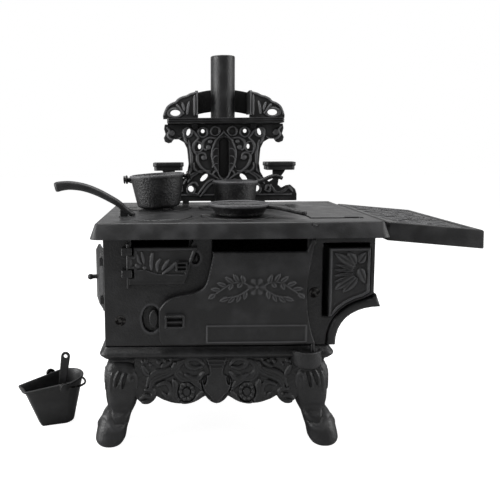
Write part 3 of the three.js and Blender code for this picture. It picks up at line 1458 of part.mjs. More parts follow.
// Half hoop of wire with a loop at each end round the neck of an ear, folded back.
function hoop(reachX, depth, wireRadius, loopRadius, steps) {
  const path = new THREE.CatmullRomCurve3(Array.from({ length: steps + 1 }, (_, i) => {
    const turn = Math.PI * (i / steps);
    return new THREE.Vector3(reachX * Math.cos(turn), loopRadius + (depth - loopRadius) * Math.sin(turn), 0);
  }));
  const loops = [-1, 1].map((side) => solid(
    new THREE.TorusGeometry(loopRadius, wireRadius, wireSides, smallRoundSteps)
      .rotateY(Math.PI / 2).translate(side * reachX, 0, 0),
  ));
  return joined(wire(path, wireRadius, steps, reliefSides), ...loops);
}

const potBailReach = potRimRadius + earReach / 2;

function potBail() {
  const lift = potLift();
  return hoop(potBailReach, potRimRadius * potBailShare, bailWireRadius, bailLoopRadius, smallRoundSteps * 2)
    .rotate([-bailDropDegrees, 0, 0]).translate(0, 0, potHeight * earHeightShare)
    .rotate([0, -potLeanDegrees, 0]).translate(...onLid('rear_left', potFromLid), lift);
}

// Height of the leaning pot's own origin when it stands on its lid.
function potLift() {
  return lidTop + seatGap - bailPotSolid().boundingBox().min[2];
}

// Handle that starts inside a rim and runs outwards along +X, as [share of length, share of rise], end round.
const handleSteps = 10;
const handleEndShare = 0.16;
const handleNeckShare = 0.72;

function panHandle(rimRadius, rimHeight, length, rise, shares) {
  const path = new THREE.CatmullRomCurve3(shares.map(([out, up]) => new THREE.Vector3(
    rimRadius + out * length, 0, rimHeight - handleThickness / 2 + up * rise)));
  const widthAt = (t) => {
    const spread = handleNeckShare + (1 - handleNeckShare) * t;
    return handleWidth * spread * Math.min(1, 1 / 2 + (1 - t) / handleEndShare / 2);
  };
  return bentBar(path, widthAt, () => handleThickness, handleSteps);
}

const sauceHandleShares = [[-0.12, 0], [0.25, 0.45], [0.5, 0.85], [0.72, 1], [1, 0.6]];
const skilletHandleShares = [[-0.1, 0], [0.3, -0.2], [0.7, -0.65], [1, -1]];

function saucepan() {
  const body = bowl(sauceRimRadius, sauceBaseRadius, sauceHeight, footRound);
  const handle = panHandle(sauceRimRadius, sauceHeight, sauceHandleLength, sauceHandleRise, sauceHandleShares);
  return standOn(body.add(handle), ...onLid('rear_right', sauceFromLid), lidTop);
}

function skillet() {
  const body = bowl(skilletRimRadius, skilletBaseRadius, skilletHeight, footRound);
  const handle = panHandle(
    skilletRimRadius, skilletHeight, skilletHandleLength, skilletHandleDrop, skilletHandleShares,
  );
  const turnedHandle = handle.rotate([0, 0, skilletHandleTurnDegrees]);
  return standOn(body.add(turnedHandle), ...onLid('front_right', skilletFromLid), lidTop);
}

// Lid lifter: an arched bar whose toe rests on the lid and whose lug stands in its notch.
const lifterShares = [[0, 0], [0.06, 0.05], [0.13, 0.18], [0.2, 0.35], [0.285, 0.5], [0.465, 0.76],
  [0.635, 0.93], [0.8, 1], [0.92, 0.98], [1, 0.93]];
const lifterToeShare = 0.16;
const lifterLugShares = [0.1, 0.19];

function lidLifter() {
  const spot = lidPlaces()[0];
  const toeX = spot.x - lidRadius + lidNotchLength + lifterToeFromNotch;
  const low = lidTop + seatGap + lifterToeThickness / 2;
  const path = new THREE.CatmullRomCurve3(lifterShares.map(([out, up]) => new THREE.Vector3(
    toeX - out * lifterReach, 0, low + up * lifterRise)));
  const thicken = (t) => Math.min(1, t / lifterToeShare);
  const widthAt = (t) => lifterWidth * Math.min(1, 1 / 2 + 2 * (1 - t) / lifterToeShare);
  const grown = lifterThickness - lifterToeThickness;
  const thicknessAt = (t) => lifterToeThickness + grown * thicken(t) + lifterEndGain * t ** 2;
  const bar = bentBar(path, widthAt, thicknessAt, smallRoundSteps * 2);
  const [near, far] = lifterLugShares.map((share) => toeX - share * lifterReach);
  const half = lifterLugWidth / 2;
  const lug = block(far, near, -half, half, lidTop - lifterLugDepth, lidTop + lifterThickness);
  return bar.add(lug).translate(0, spot.y, 0);
}

// Coal hod: flat spout, half-round back. Rings are drawn with the spout towards -X.
const hodRoundSteps = 12;
const hodBaseSpoutShare = 0.6;
const hodEarFromCentre = 1;
const hodEarHeight = hodHeight - hodEarDrop;
const hodBailReach = hodRimWidth / 2 + bailWireRadius * 2;

// Half-round of the hod's back, in plan about the middle of its arc.
function hodArc(arcX, radius) {
  return Array.from({ length: hodRoundSteps + 1 }, (_, i) => {
    const turn = Math.PI * (i / hodRoundSteps) - Math.PI / 2;
    return [arcX + radius * Math.cos(turn), radius * Math.sin(turn)];
  });
}

function hodRing(length, width, spoutWidth, centreX, heightAt) {
  const radius = width / 2;
  const [front, back] = [centreX - length / 2, centreX + length / 2];
  return [...hodArc(back - radius, radius), [front, spoutWidth / 2], [front, -spoutWidth / 2]]
    .map(([x, y]) => new THREE.Vector3(x, y, heightAt((back - x) / length)));
}

function hodPlace(body) {
  return body.rotate([0, 0, hodTurnDegrees]).translate(hodX, hodY, 0);
}

function hodEar(side) {
  const neck = new THREE.CylinderGeometry(earNeckRadius, earNeckRadius, earReach, smallRoundSteps);
  const flange = new THREE.CylinderGeometry(earRadius, earRadius, earFlange, smallRoundSteps);
  neck.translate(hodEarFromCentre, side * (hodBailReach - earReach / 2 + earFlange), hodEarHeight);
  flange.translate(hodEarFromCentre, side * (hodBailReach + earFlange + seatGap), hodEarHeight);
  return solid(neck).add(solid(flange));
}

function coalHod() {
  const rimHeight = (share) => hodHeight - hodSpoutDrop * share;
  const shrink = 2 * hodWall;
  const baseSpout = hodSpoutWidth * hodBaseSpoutShare;
  const outer = loft([hodRing(hodBaseLength, hodBaseWidth, baseSpout, 0, () => 0),
    hodRing(hodRimLength, hodRimWidth, hodSpoutWidth, hodRimOffset, rimHeight)]);
  const inner = loft([
    hodRing(hodBaseLength - shrink, hodBaseWidth - shrink, baseSpout - shrink, 0, () => hodWall),
    hodRing(hodRimLength - shrink, hodRimWidth - shrink, hodSpoutWidth - shrink, hodRimOffset,
      (share) => rimHeight(share) + seatGap / 2),
  ]);
  return hodPlace(joined(outer, hodEar(-1), hodEar(1)).subtract(inner));
}

function hodBail() {
  const arcX = hodRimOffset + hodRimLength / 2 - hodRimWidth / 2 - hodEarFromCentre;
  const ends = [bailLoopRadius, arcX / 2];
  const side = (y) => ends.map((x) => [x, y]);
  const plan = [...side(-hodBailReach), ...hodArc(arcX, hodBailReach), ...side(hodBailReach).reverse()];
  const path = new THREE.CatmullRomCurve3(plan.map(([x, y]) => new THREE.Vector3(x, y, 0)));
  const loops = [-1, 1].map((half) => solid(
    new THREE.TorusGeometry(bailLoopRadius, bailWireRadius, wireSides, smallRoundSteps)
      .rotateX(Math.PI / 2).translate(0, half * hodBailReach, 0),
  ));
  return hodPlace(joined(wire(path, bailWireRadius, hodRoundSteps * 2, reliefSides), ...loops)
    .rotate([0, hodBailDropDegrees, 0]).translate(hodEarFromCentre, 0, hodEarHeight));
}

// Shovel: a flat blade with turned-up sides under a strap handle with a hole.
const shovelHoleRadius = 1.6;
const shovelFlangeHeight = 2.2;
const shovelFromHod = 1.2;

function coalShovel() {
  const [half, blade, neck] = [shovelHandleWidth / 2, shovelBladeWidth / 2, shovelNeckWidth / 2];
  const hub = shovelLength - half;
  const shape = new THREE.Shape();
  shape.moveTo(-blade, 0);
  shape.lineTo(blade, 0);
  shape.lineTo(blade, shovelFlangeLength);
  shape.lineTo(neck, shovelBladeLength);
  shape.lineTo(half, hub);
  shape.absarc(0, hub, half, 0, Math.PI);
  shape.lineTo(-neck, shovelBladeLength);
  shape.lineTo(-blade, shovelFlangeLength);
  const plate = upright(shape, -shovelThickness / 2, shovelThickness, coarseSteps);
  const hole = barAlongY(0, hub, shovelHoleRadius, -shovelThickness, shovelThickness);
  const edge = block(blade - shovelThickness / 2, blade, -shovelThickness / 2 - shovelFlangeHeight, 0,
    0, shovelFlangeLength);
  const sides = edge.add(edge.mirror([1, 0, 0]));
  return standOn(joined(plate, sides).subtract(hole).rotate([0, shovelLeanDegrees, 0]),
    hodX + shovelFromHod, hodY, hodWall);
}

// The pieces, all in black cast iron but for the screws and wires
const ironColor = 0x2b2b2c;
const darkIronColor = 0x1d1d1e;
const steelColor = 0x6f7072;
const ironMetalness = 0.6;
const ironRoughness = 0.6;
const root = new THREE.Group();
root.name = 'toy_stove';

function place(name, body, color = ironColor) {
  const finish = { color, metalness: ironMetalness, roughness: ironRoughness };
  const material = new THREE.MeshStandardMaterial(finish);
  const mesh = new THREE.Mesh(geometryOf(body), material);
  mesh.name = name;
  root.add(mesh);
}

place('base_frame', baseFrame());
legPlaces().forEach((spot) => place(`leg_${spot.name}`, leg(spot)));
place('front_panel', frontPanel());
place('left_side_panel', leftSidePanel());
place('right_end', rightEnd());
place('back_panel', backPanel());
place('floor_plate', floorPlate(), darkIronColor);
place('fire_grate', fireGrate(), darkIronColor);
place('water_tank', waterTank());
screwPlaces().forEach((spot) => {
  place(`screw_${spot.name}`, screw(spot), steelColor);
  place(`nut_${spot.name}`, nut(spot), steelColor);
});
place('cook_top', topPlate());
lidPlaces().forEach((spot) => place(`lid_${spot.name}`, lid(spot)));
place('long_lid', longLid());
place('oven_door', ovenDoor());
place('fire_door', fireDoor());
place('side_door', sideDoor().rotate([0, 0, sideDoorAjarDegrees]).translate(sideHingeX, sideHingeY, 0));
place('backsplash', backsplash());
place('warming_shelf', warmingShelf());
place('crest', crest());
place('teapot_shelf_left', teapotShelf(-1));
place('teapot_shelf_right', teapotShelf(1));
place('flue_pipe', fluePipe());
place('side_shelf', sideShelf());
place('bail_pot', bailPot());
place('pot_bail', potBail(), steelColor);
place('saucepan', saucepan());
place('skillet', skillet());
place('lid_lifter', lidLifter());
place('coal_hod', coalHod());
place('hod_bail', hodBail(), steelColor);
place('coal_shovel', coalShovel());

// The frame's origin is the middle of the whole at floor height.
const bounds = new THREE.Box3().setFromObject(root);
const middle = bounds.getCenter(new THREE.Vector3());
root.position.set(-middle.x, -middle.y, -bounds.min.z);
root.updateMatrixWorld(true);

export default root;
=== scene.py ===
# Cast iron toy kitchen range with its loose cookware and coal hod.
import math

import bmesh
import bpy
import numpy as np
from mathutils import Matrix, Vector


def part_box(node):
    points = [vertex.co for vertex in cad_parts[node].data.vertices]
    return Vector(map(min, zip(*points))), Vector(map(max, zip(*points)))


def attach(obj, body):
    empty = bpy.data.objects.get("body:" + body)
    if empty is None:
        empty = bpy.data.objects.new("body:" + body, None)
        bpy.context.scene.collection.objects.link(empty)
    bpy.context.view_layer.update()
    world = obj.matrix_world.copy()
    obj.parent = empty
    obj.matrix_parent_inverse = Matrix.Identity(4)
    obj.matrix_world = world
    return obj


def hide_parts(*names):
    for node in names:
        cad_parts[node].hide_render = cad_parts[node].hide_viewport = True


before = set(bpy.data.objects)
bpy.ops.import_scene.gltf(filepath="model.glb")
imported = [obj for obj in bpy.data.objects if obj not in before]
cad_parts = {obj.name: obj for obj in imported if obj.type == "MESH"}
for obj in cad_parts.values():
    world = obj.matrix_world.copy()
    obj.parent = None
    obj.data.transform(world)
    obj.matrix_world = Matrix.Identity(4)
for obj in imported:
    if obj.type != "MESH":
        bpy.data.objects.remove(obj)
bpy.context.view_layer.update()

# Studio: a white table in a light tent, with large soft lamps over it, behind it and at both sides.
# The camera looks a little down on the cook top from in front of the range's left half.
MM = 0.001
top_low, top_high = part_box("cook_top")
MIDDLE = np.array([(top_low.x + top_high.x) / 2, (top_low.y + top_high.y) / 2, 0.0])
scene = bpy.context.scene
scene.view_settings.view_transform = "Standard"

IMAGE_SIDE_PX = 500
FOCAL_PX = 570
CENTRE_PX = (182, 213)
SENSOR_MM = 36
EYE_MM = (-41.5, -484.0, 222.7)
PITCH_DEG = 6.5
ROLL_DEG = -0.46
camera_data = bpy.data.cameras.new("camera")
camera_data.sensor_width = SENSOR_MM
camera_data.lens = FOCAL_PX / IMAGE_SIDE_PX * SENSOR_MM
camera_data.shift_x = (IMAGE_SIDE_PX / 2 - CENTRE_PX[0]) / IMAGE_SIDE_PX
camera_data.shift_y = (CENTRE_PX[1] - IMAGE_SIDE_PX / 2) / IMAGE_SIDE_PX
camera = bpy.data.objects.new("camera", camera_data)
camera.location = Vector(MIDDLE) + Vector(EYE_MM) * MM
camera.rotation_euler = (Matrix.Rotation(math.radians(90 - PITCH_DEG), 3, "X")
                         @ Matrix.Rotation(math.radians(ROLL_DEG), 3, "Z")).to_euler()
scene.collection.objects.link(camera)
scene.camera = camera


def linear(code):
    """Turns an sRGB hex colour to the linear values that a shader takes."""
    srgb = np.array([int(code[i:i + 2], 16) / 255 for i in (1, 3, 5)])
    flat = np.where(srgb <= 0.04045, srgb / 12.92, ((srgb + 0.055) / 1.055) ** 2.4)
    return (*flat.tolist(), 1.0)


def add(tree, kind, inputs=None, **settings):
    """Adds a shader node with its settings, and sets or links each input: a node stands for its first output."""
    node = tree.nodes.new("ShaderNode" + kind)
    for key, value in settings.items():
        setattr(node, key, value)
    for socket, value in (inputs or {}).items():
        value = value.outputs[0] if isinstance(value, bpy.types.Node) else value
        if isinstance(value, bpy.types.NodeSocket):
            tree.links.new(value, node.inputs[socket])
        else:
            node.inputs[socket].default_value = value
    return node


def new_tree(owner):
    """Empties the node tree of a material or world and returns it."""
    owner.use_nodes = True
    owner.node_tree.nodes.clear()
    return owner.node_tree


# Matt white card: it glows just enough to stay white to the eye, and still shows a soft shadow under the feet.
table = bpy.data.materials.new("matt_white_table")
tree = new_tree(table)
path = add(tree, "LightPath")
cloth = add(tree, "BsdfDiffuse", {"Color": linear("#b4b4b4")})
glow = add(tree, "Emission", {"Color": linear("#ffffff"), "Strength": 0.93})
unlit = add(tree, "Emission", {"Strength": 0.0})
seen = add(tree, "MixShader", {0: path.outputs["Is Camera Ray"], 1: unlit, 2: glow})
both = add(tree, "AddShader", {0: cloth, 1: seen})
add(tree, "OutputMaterial", {"Surface": both})

TABLE_HALF = 4.0
floor_mesh = bpy.data.meshes.new("table")
corners = [(x * TABLE_HALF, y * TABLE_HALF, 0) for x, y in ((-1, -1), (1, -1), (1, 1), (-1, 1))]
floor_mesh.from_pydata(corners, [], [(0, 1, 2, 3)])
floor_mesh.materials.append(table)
floor = bpy.data.objects.new("table", floor_mesh)
scene.collection.objects.link(floor)

world = bpy.data.worlds.new("light_tent")
scene.world = world
tree = new_tree(world)
path = add(tree, "LightPath")
tent = add(tree, "Background", {"Color": linear("#ffffff"), "Strength": 0.16})
backdrop = add(tree, "Background", {"Color": linear("#ffffff"), "Strength": 1.0})
direct = add(tree, "Math", {0: path.outputs["Is Camera Ray"], 1: path.outputs["Is Transmission Ray"]},
             operation="MAXIMUM")
sight = add(tree, "MixShader", {0: direct, 1: tent, 2: backdrop})
add(tree, "OutputWorld", {"Surface": sight})


def soft_lamp(name, place, aim, size, watts):
    """A square area lamp at a place, turned to look at a point."""
    data = bpy.data.lights.new(name, "AREA")
    data.shape = "RECTANGLE"
    data.size, data.size_y = size
    data.energy = watts
    lamp = bpy.data.objects.new(name, data)
    lamp.location = place
    lamp.rotation_euler = (Vector(aim) - Vector(place)).to_track_quat("-Z", "Y").to_euler()
    lamp.visible_camera = False
    scene.collection.objects.link(lamp)


soft_lamp("lamp_over", (0.0, 0.05, 0.95), (0, 0, 0.1), (0.9, 0.7), 9.0)
soft_lamp("lamp_left", (-0.85, -0.16, 0.35), (0, 0, 0.12), (0.5, 0.7), 8.0)
soft_lamp("lamp_right", (0.85, -0.15, 0.35), (0, 0, 0.12), (0.5, 0.7), 5.0)
soft_lamp("lamp_front", (-0.2, -1.1, 0.6), (0, 0, 0.1), (0.8, 0.5), 0.3)
soft_lamp("lamp_behind", (0.0, 1.3, 0.42), (0, 0, 0.15), (1.9, 0.5), 2.9)


# Base frame: one sand casting in black painted iron, a moulded band with carved skirts below it.
# A half-round cup in front of it takes the lower pin of the oven door; pads inside take the legs.
BLOTCH_MM = 14


def cast_iron(name, colour, worn_and_highlight_colour, roughness, grain_mm, grain_depth_mm):
    """Sand-cast iron under oiled black paint: pebbly grain in the bump, blotches in the gloss.

    The attribute 'relief' of carved pieces, -1 in a recess and +1 on a ridge, paints shade towards near black into
    the hollows and lightens the raised parts, partly as rubbed paint and partly as a painted highlight.
    """
    material = bpy.data.materials.new(name)
    tree = new_tree(material)
    place = add(tree, "TexCoord").outputs["Object"]
    grain = add(tree, "TexNoise", {"Vector": place, "Scale": 1 / (grain_mm * MM), "Detail": 3.0, "Roughness": 0.62})
    blotch = add(tree, "TexNoise", {"Vector": place, "Scale": 1 / (BLOTCH_MM * MM), "Detail": 4.0})
    blotch = blotch.outputs["Fac"]
    relief = add(tree, "Attribute", attribute_name="relief").outputs["Fac"]
    # Raised parts of the relief take the lighter colour: partly rubbed paint, partly a painted highlight
    ridge = add(tree, "MapRange", {"Value": relief, "From Min": 0.1, "From Max": 1.0, "To Max": 0.75})
    recess = add(tree, "MapRange", {"Value": relief, "From Min": 0.0, "From Max": -1.0, "To Max": 0.85})
    rubbed = add(tree, "MapRange", {"Value": blotch, "From Min": 0.45, "From Max": 0.75, "To Max": 0.25})
    wear_and_highlight = add(tree, "Math", {0: ridge, 1: rubbed}, operation="MAXIMUM")
    paint = add(tree, "Mix", {"Factor": wear_and_highlight, "A": linear(colour), "B": linear(worn_and_highlight_colour)}, data_type="RGBA")
    # Painted shade: the hollows of the relief are mixed towards near black, where shade falls
    deep = add(tree, "Mix", {"Factor": recess, "A": paint.outputs["Result"], "B": linear("#050505")},
               data_type="RGBA")
    gloss = add(tree, "MapRange", {"Value": blotch, "From Min": 0.3, "From Max": 0.7, "To Min": roughness - 0.06,
                                   "To Max": roughness + 0.08})
    bump = add(tree, "Bump", {"Height": grain.outputs["Fac"], "Strength": 0.8, "Distance": grain_depth_mm * MM})
    shader = add(tree, "BsdfPrincipled", {"Base Color": deep.outputs["Result"], "Roughness": gloss, "Normal": bump,
                                          "Metallic": 0.0})
    add(tree, "OutputMaterial", {"Surface": shader})
    return material


# Oiled black iron, sanded smooth before painting: a satin black, with grey on every raised line that is partly rubbed
# paint and partly a painted highlight
smooth_iron = cast_iron("oiled_black_cast_iron", "#19191a", "#545456", 0.46, 1.2, 0.16)
# The same paint on iron as it left the sand: many small glints between pits of 1.5 mm
pebbly_iron = cast_iron("pebbly_black_cast_iron", "#19191a", "#4a4a4c", 0.42, 1.5, 0.5)
SMOOTH_ANGLE = math.radians(38)
MERGE_M = 1e-6
# Every piece that turns, lifts off or stands loose; the rest is bolted or riveted to the stove
MOVING = ("oven_door fire_door side_door lid_front_left lid_front_right lid_rear_left lid_rear_right long_lid"
          " flue_pipe side_shelf bail_pot pot_bail saucepan skillet lid_lifter coal_hod hod_bail coal_shovel").split()


def skin(rows, columns, round_columns=True, round_rows=False):
    """Quads between neighbours of a grid of points that is numbered row by row, closed on itself or not."""
    r = np.arange(rows if round_rows else rows - 1)[:, None]
    c = np.arange(columns if round_columns else columns - 1)[None, :]
    up, along = (r + 1) % rows, (c + 1) % columns
    quads = [r * columns + c, r * columns + along, up * columns + along, up * columns + c]
    return np.stack(quads, -1).reshape(-1, 4)


def hang(name, node, mesh, material):
    """Makes a piece of a mesh, in place of a CAD piece and on its body: a moving piece is a body of its own."""
    mesh.polygons.foreach_set("use_smooth", np.ones(len(mesh.polygons), bool))
    mesh.set_sharp_from_angle(angle=SMOOTH_ANGLE)
    mesh.materials.clear()
    mesh.materials.append(material)
    piece = bpy.data.objects.new(name, mesh)
    scene.collection.objects.link(piece)
    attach(piece, node if node in MOVING else "stove")
    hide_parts(node)
    return piece


def cast(name, node, points, quads, material, relief=None, outwards=True):
    """Makes a piece of points in mm about the middle of the cook top.

    Points that fall together are merged; faces are turned outwards; corners over the set angle stay sharp.
    """
    mesh = bpy.data.meshes.new(name)
    mesh.vertices.add(len(points))
    mesh.vertices.foreach_set("co", (np.asarray(points) * MM + MIDDLE).ravel())
    mesh.loops.add(quads.size)
    mesh.loops.foreach_set("vertex_index", quads.ravel())
    mesh.polygons.add(len(quads))
    mesh.polygons.foreach_set("loop_start", np.arange(0, quads.size, 4))
    mesh.update(calc_edges=True)
    if relief is not None:
        mesh.attributes.new("relief", "FLOAT", "POINT").data.foreach_set("value", relief)
    if outwards:
        shape = bmesh.new()
        shape.from_mesh(mesh)
        bmesh.ops.remove_doubles(shape, verts=shape.verts, dist=MERGE_M)
        bmesh.ops.recalc_face_normals(shape, faces=shape.faces)
        shape.to_mesh(mesh)
        shape.free()
    mesh.validate()
    hang(name, node, mesh, material)


def cast_grid(name, node, points, material, relief=None, **closing):
    """Casts the skin of a grid of points, row by row."""
    cast(name, node, points.reshape(-1, 3), skin(*points.shape[:2], **closing), material, relief)


def smooth_path(points, count):
    """Points along a smooth curve through the given ones: a Catmull-Rom curve, evenly spaced in its parameter."""
    points = np.asarray(points, float)
    padded = np.vstack([2 * points[0] - points[1], points, 2 * points[-1] - points[-2]])
    way = np.linspace(0, len(points) - 1, count)
    piece = np.minimum(way.astype(int), len(points) - 2)
    t = (way - piece)[:, None]
    a, b, c, d = (padded[piece + k] for k in range(4))
    return 0.5 * (2 * b + (c - a) * t + (2 * a - 5 * b + 4 * c - d) * t ** 2 + (3 * b - a - 3 * c + d) * t ** 3)


def from_pieces(p, a, step):
    """Distance of each point from each straight piece that starts at a, and the share of the piece at its foot."""
    rel = p[:, None] - a[None]
    t = np.clip((rel * step).sum(-1) / np.maximum((step ** 2).sum(-1), 1e-12), 0, 1)
    return np.linalg.norm(rel - t[..., None] * step, axis=-1), t


def from_path(p, way):
    """Distance of each point from a broken line, and its share of the way along: nearest foot on any piece."""
    gap, t = from_pieces(p, way[:-1], np.diff(way, axis=0))
    nearest = gap.argmin(1)
    row = np.arange(len(p))
    return gap[row, nearest], (nearest + t[row, nearest]) / (len(way) - 1)


PAIRS_AT_ONCE = 2000000


def from_rim(p, rim):
    """Signed distance from edges in any order, below zero inside them: odd crossings to the left mean inside."""
    a, b = rim
    step = b - a
    rise = np.where(step[:, 1] == 0, 1e-9, step[:, 1])
    result = np.empty(len(p))
    for part in np.array_split(np.arange(len(p)), max(1, len(p) * len(a) // PAIRS_AT_ONCE)):
        x, y = p[part, :1], p[part, 1:2]
        hit = ((a[:, 1] > y) != (b[:, 1] > y)) & (a[:, 0] + (y - a[:, 1]) / rise * step[:, 0] < x)
        gap = from_pieces(p[part], a, step)[0].min(1)
        result[part] = np.where(hit.sum(1) % 2 == 1, -gap, gap)
    return result


def from_outline(p, outline):
    """Signed distance from a closed outline, below zero inside it."""
    return from_rim(p, (outline, np.roll(outline, -1, axis=0)))


def from_oval(p, centre, half, slant_deg=0.0):
    """Near enough the signed distance from an oval: its scaled radius less one, times its smaller half."""
    s, c = math.sin(math.radians(slant_deg)), math.cos(math.radians(slant_deg))
    rel = p - np.asarray(centre)
    along, across = rel @ np.array([c, s]), rel @ np.array([-s, c])
    return (np.hypot(along / half[0], across / half[1]) - 1) * min(half)


def half_round(gap, width):
    """Height of a half-round bead of height 1 at a distance from its middle: the root of 1 - (d / w)^2."""
    return np.sqrt(np.clip(1 - (gap / width) ** 2, 0, 1))


def ridges(p, rows, width, height):
    """Half-round raised lines along smooth curves, thinner at both ends."""
    top = np.zeros(len(p))
    for row in rows:
        near = (p[:, 0] > min(q[0] for q in row) - width) & (p[:, 0] < max(q[0] for q in row) + width)
        near &= (p[:, 1] > min(q[1] for q in row) - 3 * width) & (p[:, 1] < max(q[1] for q in row) + 3 * width)
        gap, share = from_path(p[near], smooth_path(row, 6 * len(row)))
        wide = width * (1 - 0.5 * np.abs(2 * share - 1) ** 3)
        top[near] = np.maximum(top[near], height * half_round(gap, wide))
    return top


def leaves(p, rows, width, height):
    """Raised leaves from a foot to a tip, half-round across, widest below their middle, with a grooved rib."""
    top = np.zeros(len(p))
    for foot, tip in rows:
        foot, tip = np.asarray(foot, float), np.asarray(tip, float)
        long = np.linalg.norm(tip - foot)
        way = (tip - foot) / long
        along = (p - foot) @ way / long
        across = (p - foot) @ np.array([-way[1], way[0]])
        wide = width * np.sin(np.pi * np.clip(along, 0, 1) ** 0.8) ** 0.75
        groove = 0.45 * np.exp(-(across / (0.22 * width)) ** 2)
        dome = height * half_round(across, np.maximum(wide, 1e-6)) * (1 - groove)
        top = np.maximum(top, np.where(wide > 1e-3, dome, 0))
    return top


def buttons(p, rows, height):
    """Raised domes, each [x, y, radius]."""
    return np.max([height * half_round(np.hypot(p[:, 0] - x, p[:, 1] - y), radius) for x, y, radius in rows], 0)


def mirrored(p):
    """Folds a drawing's left half over on its right half."""
    return np.stack([np.abs(p[:, 0]), p[:, 1]], 1)


def spread(grid, passes=3):
    """Blurs a grid of heights: each pass takes the mean of a point and its four neighbours, two steps off."""
    for _ in range(passes):
        grid = (grid + sum(np.roll(grid, shift, axis) for shift in (-2, 2) for axis in (0, 1))) / 5
    return grid


FRONT = ((1, 0, 0), (0, 0, 1))
BACK = ((-1, 0, 0), (0, 0, 1))
LEFT = ((0, -1, 0), (0, 0, 1))
RIGHT = ((0, 1, 0), (0, 0, 1))
TOP = ((1, 0, 0), (0, 1, 0))


def open_edges(faces):
    """Start and end of every edge that belongs to one face only."""
    pairs = np.stack([faces, np.roll(faces, -1, 1)], -1).reshape(-1, 2)
    key = pairs.min(1) * (faces.max() + 1) + pairs.max(1)
    _, first, times = np.unique(key, return_index=True, return_counts=True)
    return pairs[first[times == 1]].T


def carved_plate(name, node, edge, span, step, face, back, material, lift=None, soft=0.7, sides=FRONT,
                 origin=(0, 0, 0), rubbed=0.3):
    """A cast plate over the area where edge(p) is below zero, on a square grid that is drawn onto the edge.

    A point (u, v) stands at origin + u x side 1 + v x side 2 + out x their cross product: the face at the
    face's depth plus lift(p), dropped by a quarter round at the edge, the back at its own depth. Where the face
    stands the distance rubbed over its surroundings its paint is fully lightened, partly as rubbed paint and partly
    as a painted highlight; where it sinks as far below them it gets full painted shade.
    """
    (u0, u1), (v0, v1) = span
    count_u, count_v = int((u1 - u0) / step) + 2, int((v1 - v0) / step) + 2
    u, v = np.meshgrid(u0 + step * np.arange(count_u), v0 + step * np.arange(count_v), indexing="ij")
    p = np.stack([u.ravel(), v.ravel()], 1)
    middle = p.reshape(count_u, count_v, 2)[:-1, :-1] + step / 2
    kept = edge(middle.reshape(-1, 2)) < 0
    i, j = np.divmod(np.flatnonzero(kept), count_v - 1)
    a = i * count_v + j
    cells = np.stack([a, a + count_v, a + count_v + 1, a + 1], 1)
    uses = np.bincount(cells.ravel(), minlength=len(p))
    rim = np.flatnonzero((uses > 0) & (uses < 4))
    probe = step / 8
    for _ in range(3):
        q = p[rim]
        gap = edge(q)
        slope = np.stack([edge(q + way) - edge(q - way) for way in ([probe, 0], [0, probe])], 1) / (2 * probe)
        move = -gap[:, None] * slope / np.maximum((slope ** 2).sum(1), 0.2)[:, None]
        p[rim] = q + np.clip(move, -0.6 * step, 0.6 * step)
    used = np.flatnonzero(uses > 0)
    new = np.full(len(p), -1)
    new[used] = np.arange(len(used))
    cells = new[cells]
    height = lift(p) if lift else np.zeros(len(p))
    grid = height.reshape(count_u, count_v)
    carved = np.clip((grid - spread(grid)).ravel()[used] / rubbed, -1, 1)
    drop = soft * (1 - half_round(1 - np.clip(-edge(p[used]) / soft, 0, 1), 1))
    one, two = (np.array(side, float) for side in sides)
    flat = np.asarray(origin, float) + p[used][:, :1] * one + p[used][:, 1:] * two
    out = np.cross(one, two)
    points = np.vstack([flat + (face + height[used] - drop)[:, None] * out, flat + back * out])
    (start, end), low = open_edges(cells), len(used)
    walls = np.stack([end, start, start + low, end + low], 1)
    quads = np.vstack([cells, cells[:, ::-1] + low, walls])
    cast(name, node, points, quads, material, np.concatenate([carved, np.zeros(low)]), outwards=False)


def round_ring(x0, x1, y0, y1, corner, steps=6):
    """Points of a level rectangle with round corners, each corner a quarter circle."""
    turn = (np.arange(4)[:, None] + np.linspace(0, 1, steps + 1)[None]) * np.pi / 2
    cx = np.array([x1 - corner, x0 + corner, x0 + corner, x1 - corner])[:, None]
    cy = np.array([y1 - corner, y1 - corner, y0 + corner, y0 + corner])[:, None]
    return np.stack([cx + corner * np.cos(turn), cy + corner * np.sin(turn)], -1).reshape(-1, 2)


def moulding(x0, x1, y0, y1, corner, profile, steps=6):
    """Grid of points: a profile of [way out, height] carried round a rectangle, corners growing with the way."""
    rings = []
    for out, z in profile:
        ring = round_ring(x0 - out, x1 + out, y0 - out, y1 + out, max(corner + out, 0.05), steps)
        rings.append(np.column_stack([ring, np.full(len(ring), z)]))
    return np.array(rings)


def lathe(profile, sides=72, centre=(0, 0), turn=(0.0, 360.0)):
    """Grid of points: a profile of [radius, height] turned about an upright axis."""
    profile = np.asarray(profile, float)
    whole = turn[1] - turn[0] >= 360
    angle = np.radians(np.linspace(*turn, sides + (0 if whole else 1), endpoint=not whole))
    x = centre[0] + profile[:, :1] * np.cos(angle)
    y = centre[1] + profile[:, :1] * np.sin(angle)
    return np.stack([x, y, np.broadcast_to(profile[:, 1:], x.shape)], -1)


def capped(rings, first=None, last=None):
    """Closes a tube of rings with a point at each end: the given one, or the middle of the end ring."""
    ends = [rings[k].mean(0) if point is None else point for k, point in ((0, first), (-1, last))]
    low, high = (np.broadcast_to(end, rings[:1].shape) for end in ends)
    return np.concatenate([low, rings, high])


def box_of(node):
    """Lowest and highest corner of a CAD piece in mm about the middle of the cook top."""
    low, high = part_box(node)
    return (np.array(low) - MIDDLE) / MM, (np.array(high) - MIDDLE) / MM


